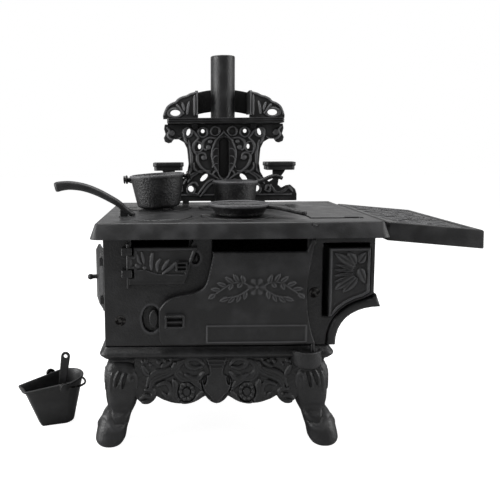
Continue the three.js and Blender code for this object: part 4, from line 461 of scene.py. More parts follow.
BASE_LEFT, BASE_RIGHT, BODY_FRONT, BODY_BACK = -99.5, 66.5, -74.0, 74.0
BASE_MIDDLE = (BASE_LEFT + BASE_RIGHT) / 2
BAND_LOW, BAND_TOP, BAND_WALL, BAND_REACH = 62.5, 76.0, 6.5, 4.4
BAND_PROFILE = [(-0.6, 0), (-0.55, 0.14), (-0.4, 0.24), (0.1, 0.32), (0.42, 0.4), (0.72, 0.48), (0.94, 0.55),
                (1, 0.61), (0.95, 0.68), (0.7, 0.77), (0.42, 0.86), (0.24, 0.93), (0.12, 1)]
rise = BAND_TOP - BAND_LOW
profile = [(out * BAND_REACH, BAND_LOW + up * rise) for out, up in BAND_PROFILE]
profile += [(-BAND_WALL, BAND_TOP), (-BAND_WALL, BAND_LOW)]
points = moulding(BASE_LEFT, BASE_RIGHT, BODY_FRONT, BODY_BACK, 2.5, profile)
cast_grid("moulded_band", "base_frame", points, pebbly_iron, round_rows=True)

SKIRT_CUSPS = (0.149, 0.79)
SKIRT_HALF, SKIRT_SHORT_HALF, SKIRT_WALL, SKIRT_INSET = 57.2, 48.2, 2.6, 1.0
CUSP_Z, LOBE_Z, SKIRT_TOP, BEHIND_LEG = 37.0, 31.0, 68.2, 4.5


def skirt_edge(half):
    """Outline of a skirt: each lobe hangs under its cusps as a parabola, deepest in its middle."""
    cusps = np.array(SKIRT_CUSPS) * half
    half = half + BEHIND_LEG
    stops = np.concatenate([[-half], -cusps[::-1], cusps, [half]])
    t = np.linspace(0, 1, 14)[:-1]
    low = [np.stack([a + (b - a) * t, CUSP_Z - 4 * (CUSP_Z - LOBE_Z) * t * (1 - t)], 1)
           for a, b in zip(stops[:-1], stops[1:])]
    top = [[half, CUSP_Z], [half, SKIRT_TOP], [-half, SKIRT_TOP]]
    return np.vstack(low + [top])


STALKS = [[(11.7, 41.6), (16.9, 45.5), (22, 46.9), (27.1, 48.5), (30.7, 52.1), (29.6, 56.7), (25.2, 59.8)],
          [(32.2, 57.9), (33.7, 53.8), (38.6, 51.3), (44.3, 49.4), (48.8, 47.1), (51.3, 42.2)],
          [(33, 46.4), (31.9, 41.3), (32.7, 36.4), (29.9, 33.4)]]
SCROLLS = [[(23.9, 50.6), (18.1, 48), (13, 48.6), (10.2, 52.1)],
           [(10.2, 57.1), (14.3, 60.5), (19.4, 61.2), (23.2, 59.1), (21.7, 56.1), (16.9, 54.7), (11.7, 55.7)],
           [(35.8, 55.2), (39.8, 53.6), (46.2, 52.3), (51.3, 48.8), (54.2, 42.8)],
           [(52.4, 50.1), (55.2, 52.7), (57, 56.4)], [(42.4, 55.9), (39.2, 57.3), (35.4, 59.1)],
           [(59.3, 35), (54.9, 36.4), (50.6, 36), (48.5, 38.3), (50.8, 40.6), (55.2, 40.8)],
           [(57.7, 32.3), (52.4, 32.8), (46.5, 34.6)],
           [(46, 43.6), (39.8, 45.2), (35.8, 42.7), (35.2, 37.8), (38.3, 36), (41.4, 38.3)],
           [(11.1, 39.3), (13.3, 36.4), (17.4, 33)], [(27.1, 32.4), (22, 31.7), (16.9, 32.3)]]
BERRIES = [(56.6, 59, 1.7), (54.2, 59.6, 2), (50.8, 57.1, 1.5), (44.3, 58.7, 2), (39.8, 59.6, 1.4), (35.1, 60.5, 1.5)]
ROSETTE, ROSETTE_RADIUS, ROSETTE_EYE = (23.2, 39.3), 6.6, 3.4
CARTOUCHE = np.array([(8.6, 62.5), (7.7, 59.6), (5.6, 55), (5.1, 50.9), (9.9, 49.2), (11.2, 46.3), (10.6, 41.6),
                      (8.4, 38.2), (5.4, 36.4), (4.1, 34.1), (0, 30.8)])
EAR_AT, EAR_HALF = (9.0, 46.8), (1.5, 3.8)


def skirt_carving(half):
    """Lift of a skirt's face at (along, z): thick scrolls, berries and a rosette mirrored about a waisted shield.

    The drawing is made for the front skirt, is stretched up to the band and squeezed along the shorter ones.
    """
    shield = np.vstack([CARTOUCHE, CARTOUCHE[::-1] * [-1, 1]])

    def lift(p):
        squeeze = (BAND_LOW - LOBE_Z) / (SKIRT_TOP - LOBE_Z)
        p = np.stack([p[:, 0], LOBE_Z + (p[:, 1] - LOBE_Z) * squeeze], 1)
        q = mirrored(p) * [(SKIRT_HALF + 1.6) / half, 1]
        top = 0.35 + 0.2 * np.sin(q[:, 0] * 0.9 + 2 * np.sin(q[:, 1] * 0.5)) * np.sin(q[:, 1] * 0.7)
        top = np.maximum(top, ridges(q, STALKS, 3.2, 2.0))
        top = np.where(ridges(q, STALKS, 0.5, 1) > 0.3, top - 0.3, top)
        top = np.maximum.reduce([top, ridges(q, SCROLLS, 2.1, 1.9), buttons(q, BERRIES, 1.7)])
        rel = q - np.array(ROSETTE)
        far, turn = np.hypot(rel[:, 0], rel[:, 1]), np.arctan2(rel[:, 1], rel[:, 0])
        petal = (far - (ROSETTE_RADIUS + ROSETTE_EYE) / 2) / ((ROSETTE_RADIUS - ROSETTE_EYE) / 2)
        ring = 1.7 * half_round(petal, 1) * (0.75 + 0.25 * np.cos(10 * turn))
        eye = 0.9 * (far < ROSETTE_EYE - 0.7)
        top = np.where(far < ROSETTE_RADIUS + 0.5, np.maximum(ring, eye) + 0.35, top)
        gap = from_outline(p, shield)
        top = np.where(gap < 0.9, top * np.clip(gap / 0.9, 0, 1), top)
        body = 1.5 * np.clip(-gap / 0.8, 0, 1) ** 0.5 - 0.35 * (gap < -1.3)
        bands = 0.35 * np.cos((p[:, 1] - BAND_LOW) * 2.5) * (p[:, 1] > 54.5)
        pocket = np.clip(-from_oval(q, EAR_AT, EAR_HALF, 12) / 0.5, 0, 1)
        body = body + bands - 2.2 * pocket
        return np.where(gap < 0, body, top)
    return lift


middle = (BASE_MIDDLE, 0, 0)
for name, side, half, depth in (("front", FRONT, SKIRT_HALF, -BODY_FRONT - SKIRT_INSET),
                                ("rear", BACK, SKIRT_HALF, BODY_BACK - SKIRT_INSET),
                                ("left", LEFT, SKIRT_SHORT_HALF, -BASE_LEFT - SKIRT_INSET),
                                ("right", RIGHT, SKIRT_SHORT_HALF, BASE_RIGHT - SKIRT_INSET)):
    outline = skirt_edge(half)
    centre = middle if name in ("front", "rear") else (0, 0, 0)
    carved_plate(f"{name}_skirt", "base_frame", lambda p: from_outline(p, outline),
                 ((-half - 6, half + 6), (LOBE_Z - 1, SKIRT_TOP + 1)), 0.4 if name == "front" else 0.6, depth,
                 depth - SKIRT_WALL, pebbly_iron, skirt_carving(half), 0.8, side, centre, 0.8)

CUP_X, CUP_RADIUS, CUP_TOP, CUP_LOW, CUP_FLOOR = 49.9, 11.5, 74.0, 60.0, 64.5
CUP_PROFILE = [(0, CUP_LOW), (6, CUP_LOW), (8.2, CUP_LOW + 0.5), (9.8, CUP_LOW + 1.4), (11, CUP_LOW + 3),
               (CUP_RADIUS, CUP_LOW + 5), (CUP_RADIUS, CUP_TOP - 0.6), (CUP_RADIUS - 0.5, CUP_TOP),
               (CUP_RADIUS - 2.2, CUP_TOP), (CUP_RADIUS - 2.6, CUP_TOP - 0.6), (CUP_RADIUS - 2.7, CUP_FLOOR + 1),
               (CUP_RADIUS - 3.7, CUP_FLOOR), (0, CUP_FLOOR)]
points = lathe(CUP_PROFILE, 48, (CUP_X, BODY_FRONT), (170.0, 370.0))
cast_grid("half_round_hinge_cup", "base_frame", points, pebbly_iron, round_columns=False)


# Legs: four cabriole legs, each one iron casting with a carved knee, a fold at its ankle and a pad foot,
# riveted into the corners of the base frame by a peg on its top.
LEG_OUT_X, LEG_OUT_Y, KNEE, SPLAY, LEG_HIGH = 71.0, 62.0, 27.0, 10.0, 62.2
LEG_ROWS = [[0, 1, 0.52], [0.012, 1, 0.62], [0.03, 1, 0.7], [0.06, 0.99, 0.78], [0.1, 0.94, 0.83], [0.2, 0.82, 0.83],
            [0.26, 0.7, 0.83], [0.31, 0.58, 0.81], [0.36, 0.46, 0.79], [0.41, 0.24, 0.76], [0.46, 0.13, 0.8],
            [0.53, 0.1, 0.88], [0.62, 0.04, 0.96], [0.72, 0, 1], [0.84, 0, 1], [0.92, 0, 0.96], [0.96, 0, 0.91],
            [0.99, 0, 0.84], [1.015, 0, 0.74], [1.032, 0, 0.6], [1.04, 0, 0.44]]
KNEE_GROOVES = [[(0.6, 57.2), (2.9, 52), (4.4, 46.4)], [(-3.6, 55.6), (-1.7, 50.4), (-0.7, 44.8)]]
KNEE_EDGES = [[(2.3, 57.4), (4.6, 52.2), (6, 46)], [(-1.9, 56), (-0.1, 50.8), (1, 44.4)],
              [(7, 56), (8.6, 49), (8.8, 42)]]
KNEE_CURL = [[(-10.6, 44), (-11, 49.5), (-9.6, 54), (-6.6, 55), (-5.2, 52.4), (-6.2, 49.4)]]
KNEE_BEAD = (-7.9, 50.6, 1.6)
FOLD_LOW, FOLD_RISE, FOLD_DEEP = 17.5, 9, 2.4


def leg_points(side_x, side_y, rows=130, sides=132):
    """Rings from the floor up: |x|^n + |y|^n = half^n, squarish in the knee and diamond-like in the foot.

    The carving moves a point out from the ring's middle. It is drawn on both outer faces, in mm outwards from
    the leg's middle and up from the floor. A slanting fold parts the foot from the shank.
    """
    up, out, wide = smooth_path(LEG_ROWS, rows).T
    height = LEG_HIGH * up[:, None]
    turn = (np.arange(sides) + 0.5) / sides * 2 * np.pi
    c, s = np.cos(turn)[None], np.sin(turn)[None]
    foot = np.clip((24 - height) / 8, 0, 1)
    power = 3.4 - 1.3 * foot
    grow = (np.abs(c) ** power + np.abs(s) ** power) ** (1 / power)
    half = KNEE / 2 * wide[:, None] * (1 + 0.02 * foot)
    u, v = c / grow * half, s / grow * half
    height = np.broadcast_to(height, u.shape)
    across = np.minimum(u, v)
    q = np.stack([across.ravel(), height.ravel()], 1)
    outer = np.clip((np.maximum(u, v) / half - 0.55) / 0.2, 0, 1)
    cut = ridges(q, KNEE_GROOVES, 1.5, 1.1)
    raised = np.maximum.reduce([ridges(q, KNEE_EDGES, 1.1, 0.8), ridges(q, KNEE_CURL, 1.4, 0.9),
                                buttons(q, [KNEE_BEAD], 1.0)])
    lift = (raised - cut).reshape(u.shape) * outer
    below = FOLD_LOW + FOLD_RISE * np.clip((across + 1) / 9, 0, 1) - height
    lift = lift + np.exp(-((below - FOLD_DEEP) / FOLD_DEEP) ** 2) * (below > 0) * outer
    lift = lift - 0.6 * np.exp(-((below + 0.6) / 0.8) ** 2) * outer
    grown = 1 + lift / np.maximum(half, 1)
    x = side_x * (LEG_OUT_X + SPLAY * out[:, None] + u * grown) + BASE_MIDDLE
    y = side_y * (LEG_OUT_Y + SPLAY * out[:, None] + v * grown)
    # Relief for the paint: painted shade in the grooves and the fold's crease, and on the raised lines a lighter
    # colour that is partly rubbed paint and partly a painted highlight
    carved = np.pad(np.clip(lift / 2, -1, 1), ((1, 1), (0, 0)))
    return capped(np.stack([x, y, height], -1)), carved.ravel()


SIDES = ((-1, "left"), (1, "right"))
ENDS = ((-1, "front"), (1, "rear"))
CORNERS = [(side_x, side_y, f"{end}_{word}") for side_y, end in ENDS for side_x, word in SIDES]
for side_x, side_y, corner in CORNERS:
    points, carved = leg_points(side_x, side_y)
    cast_grid(f"cabriole_leg_{corner}", f"leg_{corner}", points, pebbly_iron, carved)


# Body: flat cast panels held together by two long screws, with the inner floor, grate and tank.
# Their cut edges are a little rounded by the casting.
def softened(name, node, material, width=0.45):
    """A copy of a CAD piece with its corners merged and its edges rounded."""
    shape = bmesh.new()
    shape.from_mesh(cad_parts[node].data)
    bmesh.ops.remove_doubles(shape, verts=shape.verts, dist=MERGE_M)
    bmesh.ops.dissolve_limit(shape, angle_limit=math.radians(0.5), verts=shape.verts, edges=shape.edges)
    mesh = bpy.data.meshes.new(name)
    shape.to_mesh(mesh)
    shape.free()
    edge = hang(name, node, mesh, material).modifiers.new("rounded_edges", "BEVEL")
    edge.width = width * MM
    edge.segments = 2
    edge.limit_method = "ANGLE"
    edge.angle_limit = SMOOTH_ANGLE
    edge.use_clamp_overlap = False
    edge.harden_normals = True


softened("left_wall", "left_side_panel", pebbly_iron)
softened("rear_wall", "back_panel", pebbly_iron)
softened("reservoir", "water_tank", pebbly_iron)
# Bare iron inside the stove, dull, its colour darker than the paint as painted shade, so that open doors look into
# shade
inner_iron = cast_iron("unpainted_inner_iron_painted_shade", "#121213", "#2c2b2b", 0.6, 1.4, 0.2)
softened("oven_floor", "floor_plate", inner_iron)
softened("grate_and_fire_wall", "fire_grate", inner_iron)


# Front wall and right end: the front wall is one flat casting with openings for the doors and the reservoir,
# two lugs for the hinge rod, and pockets with nubs that the doors close on. The right end is a rolled bead
# that follows the hollow curve from front to back, under a plain wall.
def rim_of(node, sides, depth, shift=0.0):
    """Start and end points of the edges round a CAD piece's flat faces at a depth along side 1 x side 2.

    The faces look along that way, and an edge round them belongs to one of them only. Those of a back are given
    as seen from the front, and all are measured from a shift along side 1.
    """
    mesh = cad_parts[node].data
    co = np.empty(len(mesh.vertices) * 3)
    mesh.vertices.foreach_get("co", co)
    order = np.empty(len(mesh.loops), np.int32)
    mesh.loops.foreach_get("vertex_index", order)
    corners = ((co.reshape(-1, 3) - MIDDLE) / MM)[order].reshape(-1, 3, 3)
    one, two = (np.array(side, float) for side in sides)
    out = np.cross(one, two)
    normal = np.cross(corners[:, 1] - corners[:, 0], corners[:, 2] - corners[:, 0])
    length = np.linalg.norm(normal, axis=1)
    flat = (normal @ out > 0.999 * length) & (np.abs(corners[:, 0] @ out - depth) < 0.05) & (length > 0)
    p = np.round(np.stack([corners[flat] @ one, corners[flat] @ two], -1), 3)
    spots, name = np.unique(p.reshape(-1, 2), axis=0, return_inverse=True)
    start, end = open_edges(name.reshape(-1, 3))
    seen = np.array([-1 if sides is BACK else 1, 1])
    return spots[start] * seen - [shift, 0], spots[end] * seen - [shift, 0]


def span_of(rim):
    """The lowest and highest u and v of a rim, with a little room round it."""
    both = np.vstack(rim)
    return tuple(zip(both.min(0) - 0.6, both.max(0) + 0.6))


def rim_plate(name, node, rim, *settings, grow=0.0, **more):
    """A carved plate over the inside of a CAD piece's rim, grown by a little."""
    carved_plate(name, node, lambda p: from_rim(p, rim) - grow, span_of(rim), *settings, **more)


def box_gap(p, x0, x1, y0, y1, corner=0.0):
    """Signed distance from a rectangle with round corners."""
    far = np.abs(p - [(x0 + x1) / 2, (y0 + y1) / 2]) - np.array([(x1 - x0) / 2, (y1 - y0) / 2]) + corner
    return np.linalg.norm(np.maximum(far, 0), axis=1) + np.minimum(far.max(1), 0) - corner


FIRE_ROD_X, FIRE_ROD_Y = -81.1, -75.7
WALL_THICK, POCKET_DEEP, NUB_HIGH = 3.0, 2.4, 1.4
POCKETS = [((-64.8, 97.3), (6.8, 10.2), (-63.0, 97.3), (3.6, 7.0)),
           ((-32.1, 142.7), (3.2, 4.6), (-31.4, 142.7), (1.4, 2.6))]


def wall_carving(p):
    """Lift of the front wall: two oval pockets with steep sides."""
    pocket = np.minimum(*[from_oval(p, at, half) for at, half, _, _ in POCKETS])
    return -POCKET_DEEP * np.clip(-pocket / 0.4, 0, 1)


wall_back = BODY_FRONT + WALL_THICK
rim_plate("front_wall", "front_panel", rim_of("front_panel", BACK, wall_back), 0.6, -BODY_FRONT, -wall_back,
          pebbly_iron, wall_carving, 0.9)
for word, (_, _, at, half) in zip(("oven", "fire"), POCKETS):
    nub = lambda p: from_oval(p, at, half)
    span = ((at[0] - half[0] - 1, at[0] + half[0] + 1), (at[1] - half[1] - 1, at[1] + half[1] + 1))
    carved_plate(f"{word}_door_nub", "front_panel", nub, span, 0.3, -BODY_FRONT + NUB_HIGH, -BODY_FRONT - 2,
                 pebbly_iron, None, 1.2)
LUG_HIGH, LUG_REACH, LUG_WIDE, LUG_BORE = 5.6, 3.0, 7.6, 1.7
for word, low in (("lower", 129.4), ("upper", 145.8)):
    right = FIRE_ROD_X + LUG_REACH
    lug = lambda p: np.maximum(box_gap(p, right - LUG_WIDE, right, FIRE_ROD_Y - LUG_REACH, BODY_FRONT + 0.5, 0.8),
                               LUG_BORE - np.hypot(p[:, 0] - FIRE_ROD_X, p[:, 1] - FIRE_ROD_Y))
    carved_plate(f"{word}_rod_lug", "front_panel", lug, ((right - 9, right + 1), (-80, -72)), 0.3, low + LUG_HIGH,
                 low, pebbly_iron, None, 0.6, TOP)
BEAD_END, END_OUTER = 75.6, 99.5
rim_plate("rolled_right_bead", "right_end", rim_of("right_end", FRONT, BEAD_END), 0.5, BEAD_END, -BEAD_END,
          pebbly_iron, None, 2.6)
rim_plate("right_wall", "right_end", rim_of("right_end", RIGHT, END_OUTER), 2.0, END_OUTER, END_OUTER - WALL_THICK,
          pebbly_iron, None, 0.3, RIGHT)


# Doors: three thin iron leaves. The oven door turns on two pins, the firebox door on an upright rod in two lugs
# of the panel, and the side door on such a rod too; each is opened by a cast loop or a small knob.
LOOP_REACH, LOOP_BAR = 4.0, 1.6


def finger_loop(door, x, z, front, width, height):
    """A cast frame that stands out from a door: a deep ring with a round bar across its hole."""
    def ring(p):
        hole = box_gap(p, x + LOOP_BAR, x + width - LOOP_BAR, z + LOOP_BAR, z + height - LOOP_BAR, 0.6)
        return np.maximum(box_gap(p, x, x + width, z, z + height, 1.2), -hole)

    def cross_bar(p):
        return box_gap(p, x + 0.5, x + width - 0.5, z + height / 2 - 1, z + height / 2 + 1, 0.8)

    span = ((x - 1, x + width + 1), (z - 1, z + height + 1))
    top = LOOP_REACH - front
    carved_plate(f"{door}_ring", door, ring, span, 0.3, top, -front - 0.3, smooth_iron, None, 0.7)
    carved_plate(f"{door}_bar", door, cross_bar, span, 0.3, top - 0.8, top - 2.6, smooth_iron, None, 0.8)


def rod(name, node, x, y, low, high, radius):
    """An upright round rod with rounded ends."""
    turn = np.linspace(0, np.pi / 2, 5)
    ends, caps = radius * np.sin(turn), 0.6 * radius * (1 - np.cos(turn))
    profile = [*zip(ends, low + caps), *zip(ends[::-1], high - caps[::-1])]
    cast_grid(name, node, lathe(profile, 32, (x, y)), smooth_iron)


OVEN_X, OVEN_Y, OVEN_LOW, OVEN_HIGH, OVEN_WIDTH = 54.0, -77.4, 79.0, 148.0, 113.0
OVEN_FRONT, OVEN_BACK = -80.0, -77.4
OVEN_TOP_SHARE, OVEN_RIM = 0.652, 2.2
OVEN_EDGE = [[1, 0.06], [1, 0.35], [0.985, 0.42], [0.95, 0.48], [0.9, 0.52], [0.82, 0.545], [0.75, 0.575],
             [0.71, 0.62], [0.69, 0.68], [0.675, 0.77], [OVEN_TOP_SHARE, 0.94], [OVEN_TOP_SHARE, 1]]
high = OVEN_HIGH - OVEN_LOW
left_edge = smooth_path([[OVEN_X - a * OVEN_WIDTH, OVEN_LOW + b * high] for a, b in OVEN_EDGE], 80)
PIN_TOP, HINGE_SIDE, WAIST_IN = 157.2, 1.4, 11.2
t = np.linspace(0, 1, 24)[:, None]
a, b, c = np.array([[OVEN_X + HINGE_SIDE, PIN_TOP], [OVEN_X - WAIST_IN, (OVEN_LOW + OVEN_HIGH) / 2],
                    [OVEN_X + HINGE_SIDE, OVEN_LOW]])
waist = (1 - t) ** 2 * a + 2 * t * (1 - t) * b + t ** 2 * c
oven_outline = np.vstack([[[OVEN_X - OVEN_WIDTH + 2.2, OVEN_LOW]], left_edge, [[OVEN_X - 5.6, OVEN_HIGH]],
                          [[OVEN_X - HINGE_SIDE, PIN_TOP]], waist])

FLOWER_AT, SPRAY_FOOT = [12.2, 122.5], [4, 0]
SPRAYS = [[(0, 0), (6, 3), (13, 3), (20, -1), (27, -6)], [(0, 0), (5, -4), (11, -7), (18, -8)]]
SPRAY_LEAVES = [((5, 2.5), (7, 9)), ((9, 3.4), (13, 9.5)), ((13, 3), (19, 7.5)), ((18, 0.8), (25, 3)),
                ((22, -2), (29.5, -1.5)), ((4, -3.2), (5, -9.5)), ((8, -5.6), (10.5, -11.5)), ((12, -7.2), (17, -12)),
                ((16, -8), (23, -10.5)), ((7, 3.2), (10, -1)), ((14, 2.6), (16, -2.5)), ((26, -5), (31, -9))]


def oven_carving(p):
    """Lift of the oven door: a bare raised strip under a flower between two arching sprays of leaves."""
    strip = 0.5 * half_round(box_gap(p, -24.8, 49.2, 80.3, 94.3, 1.0) + 0.8, 0.8)
    q = mirrored(p - FLOWER_AT)
    far, turn = np.hypot(q[:, 0], q[:, 1]), np.arctan2(q[:, 1], q[:, 0])
    petal = 7.0 * (0.72 + 0.28 * np.abs(np.cos(3 * turn)))
    flower = 1.1 * np.sqrt(np.clip(1 - (far / petal) ** 3, 0, 1)) * (0.55 + 0.45 * np.abs(np.cos(3 * turn)))
    return np.maximum.reduce([ridges(q - SPRAY_FOOT, SPRAYS, 0.8, 0.7), flower, 1.4 * half_round(far, 2.1), strip,
                              leaves(q - SPRAY_FOOT, SPRAY_LEAVES, 2.0, 0.9)])


carved_plate("oven_door_leaf", "oven_door", lambda p: from_outline(p, oven_outline), ((-60, 57), (78, 158)), 0.55,
             -OVEN_FRONT, -OVEN_BACK, smooth_iron, oven_carving, 1.1)
# Its inner side has a rim that fits the oven's mouth, drawn as seen from behind
RIM_INNER_Y, RIM_LEAF_Y, PIN_RADIUS, ROD_RADIUS = -74.35, -78.6, 1.4, 1.3
rim_left, rim_right = -46.0, OVEN_WIDTH * OVEN_TOP_SHARE - OVEN_X - OVEN_RIM
rim = lambda p: np.maximum(box_gap(p, rim_left, rim_right, OVEN_LOW + OVEN_RIM, OVEN_HIGH - OVEN_RIM, 1),
                           -box_gap(p, rim_left + OVEN_RIM, rim_right - OVEN_RIM, OVEN_LOW + 2 * OVEN_RIM,
                                    OVEN_HIGH - 2 * OVEN_RIM, 1))
carved_plate("oven_door_inner_rim", "oven_door", rim, ((rim_left - 2, rim_right + 2), (78, 150)), 0.8, RIM_INNER_Y,
             RIM_LEAF_Y, smooth_iron, None, 0.4, BACK)
for word, low, high in (("lower", 61.2, OVEN_LOW + 2), ("upper", 152.8, 162.6)):
    rod(f"oven_door_{word}_pin", "oven_door", OVEN_X, OVEN_Y, low, high, PIN_RADIUS)
finger_loop("oven_door", OVEN_X - OVEN_WIDTH + 4.4, 92.4, OVEN_FRONT, 14.5, 10.0)

low, high = box_of("fire_door")
FIRE_LEFT, FIRE_RIGHT, FIRE_LOW = -79.5, -30.5, low[2] + 3
FIRE_FRONT, FIRE_BACK = FIRE_ROD_Y - 1.2, FIRE_ROD_Y + 1.2
fire_rim = rim_of("fire_door", BACK, FIRE_BACK)
FIRE_RIBS = [[(16.3, 23.4), (15.5, 17), (15.5, 11.3)], [(22, 19), (19.8, 15), (19.8, 10.2)],
             [(28.3, 18.4), (25.5, 14.5), (23.4, 11.3)], [(34.8, 17.3), (30, 12.8), (23.9, 8.5)]]
FIRE_BUDS, FIRE_BORDER = [(5.4, 14, 2.1), (10.5, 12.6, 1.5)], 2.6
FIRE_LEAF = [[(4.9, 22.8), (6.5, 17.5), (8, 15.5)], [(8.5, 24), (9.5, 19), (10, 16)]]


def fire_carving(p):
    """Lift of the firebox door: a bordered field with leaves spreading up from a swell along its foot."""
    q = p - [FIRE_LEFT, FIRE_LOW]
    swell = smooth_path([(2.0, 11.3), (10.9, 11.3), (19, 8.5), (27, 8), (40, 8)], 30)
    under = q[:, 1] < np.interp(q[:, 0], *swell.T)
    border = np.clip((FIRE_BORDER + from_rim(p, fire_rim)) / 0.6, 0, 1)
    return np.maximum.reduce([ridges(q, FIRE_RIBS, 1.5, 1.1), ridges(q, FIRE_LEAF, 1.2, 0.9),
                              buttons(q, FIRE_BUDS, 1.0), 0.7 * under, 0.8 * border])


rim_plate("fire_door_leaf", "fire_door", fire_rim, 0.4, -FIRE_FRONT, -FIRE_BACK, smooth_iron, fire_carving, 0.6)
rod("fire_door_rod", "fire_door", FIRE_ROD_X, FIRE_ROD_Y, low[2], high[2], ROD_RADIUS)
finger_loop("fire_door", FIRE_RIGHT - 16, FIRE_LOW + 9.6, FIRE_FRONT, 9.0, 7.8)

softened("side_door_leaf", "side_door", pebbly_iron, 0.4)


# Front of the water tank: the upper end of the reservoir casting, which fills the front panel's opening.
# Long leaves spread over it from a stalk at its right, inside a raised border.
TANK_LEFT, TANK_TOP = 65.5, 149.8
BROAD_LEAVES = [((19, -14), (3.5, -3.5)), ((19.5, -12), (13.5, -2.6)), ((21.5, -11.5), (26.8, -3)),
                ((19, -21), (4, -31)), ((22, -15), (27, -27)), ((20.5, -22), (10.5, -33))]
NARROW_LEAVES = [((18, -15.6), (4, -12)), ((18, -17.2), (3.2, -16)), ((18, -18.8), (3.2, -20.6)),
                 ((18.4, -20), (3.4, -25.4))]
TANK_FACE, TANK_PAINTED, TANK_BEHIND = 75.4, 75.55, 74.6
tank_rim = rim_of("water_tank", FRONT, TANK_FACE)


def tank_carving(p):
    """Lift of the tank's front: leaves that spread from its right, in a border with a groove inside it."""
    q = p - [TANK_LEFT, TANK_TOP]
    top = np.maximum(leaves(q, BROAD_LEAVES, 3.4, 1.5), leaves(q, NARROW_LEAVES, 1.5, 1.2))
    inside = -from_rim(p, tank_rim)
    border = 1.3 * half_round(inside - 1.1, 1.2)
    groove = -0.5 * np.exp(-((inside - 3) / 0.7) ** 2)
    return np.where(inside < 2.3, border, np.maximum(top, 0) + groove)


rim_plate("reservoir_front", "water_tank", tank_rim, 0.45, TANK_PAINTED, TANK_BEHIND, pebbly_iron, tank_carving, 0.5,
          grow=-0.15)


# Screws: two long countersunk machine screws of turned steel that pull the front and back panels together.
# Heads and cross slots are dark with old oil; hexagonal nuts hold them behind.
SCREWS = {"screw_left": (-87.7, 96.25), "screw_right": (55.5, 116.3)}
HEAD, SHANK, DIRT_MM = 4.5, 1.6, 2.5
# Worn steel: a metal shine that comes and goes between brown-black stains, duller where they lie
steel = bpy.data.materials.new("worn_bright_steel")
tree = new_tree(steel)
place = add(tree, "TexCoord").outputs["Object"]
dirt = add(tree, "TexNoise", {"Vector": place, "Scale": 1 / (DIRT_MM * MM), "Detail": 4.0}).outputs["Fac"]
stain = add(tree, "MapRange", {"Value": dirt, "From Min": 0.42, "From Max": 0.62})
colour = add(tree, "Mix", {"Factor": stain, "A": linear("#1c1b1b"), "B": linear("#4c4b4a")}, data_type="RGBA")
dull = add(tree, "MapRange", {"Value": dirt, "To Min": 0.5, "To Max": 0.3})
shader = add(tree, "BsdfPrincipled", {"Base Color": colour.outputs["Result"], "Metallic": 1.0, "Roughness": dull})
add(tree, "OutputMaterial", {"Surface": shader})


def screw_head(x, z):
    """Lift of a screw head: a shallow cross cut and a rounded rim."""
    def lift(p):
        rel = np.abs(p - [x, z])
        cross = (rel.min(1) < 0.55 + 0.25 * (1 - rel.max(1) / 2.5)) & (rel.max(1) < 2.4)
        ring = 0.25 * np.exp(-((np.hypot(*rel.T) - 3.4) / 0.5) ** 2)
        return ring - 0.9 * cross
    return lift


for node, (x, z) in SCREWS.items():
    disc = lambda p: np.hypot(p[:, 0] - x, p[:, 1] - z) - HEAD
    carved_plate(f"{node}_head", node, disc, ((x - 5, x + 5), (z - 5, z + 5)), 0.22, -BODY_FRONT, -BODY_FRONT - 2,
                 steel, screw_head(x, z), 0.6)
    low, high = box_of(node)
    top, tip = -BODY_FRONT, -high[1]
    points = lathe([(0, top), (SHANK, top), (SHANK, tip + 0.5), (SHANK - 0.5, tip), (0, tip)], 32)
    shank = np.stack([points[..., 0] + x, -points[..., 2], points[..., 1] + z], -1)
    cast_grid(f"{node}_shank", node, shank, steel)
for _, word in SIDES:
    softened(f"{word}_nut", f"nut_{word}", steel, 0.3)


# Cook top: one flat casting with a flared apron all round, four round lids and one long lid over the reservoir.
# The lids drop into rebated holes and stand a little proud; a notch in each takes the lifter.
softened("cook_top_plate", "cook_top", smooth_iron, 0.6)
LID_TOP, LID_SEAT, PLUG_RADIUS = 170.0, 168.0, 25.6
for *_, spot in CORNERS:
    node = f"lid_{spot}"
    rim_plate(f"round_lid_{spot}", node, rim_of(node, TOP, LID_TOP), 0.5, LID_TOP, LID_SEAT, smooth_iron, None, 0.5,
              TOP, grow=0.3)
    low, high = box_of(node)
    plug = [(0, low[2]), (PLUG_RADIUS, low[2]), (PLUG_RADIUS, LID_SEAT), (0, LID_SEAT)]
    cast_grid(f"round_lid_{spot}_plug", node, lathe(plug, 64, (low + high)[:2] / 2), smooth_iron)
softened("reservoir_lid", "long_lid", smooth_iron, 0.5)


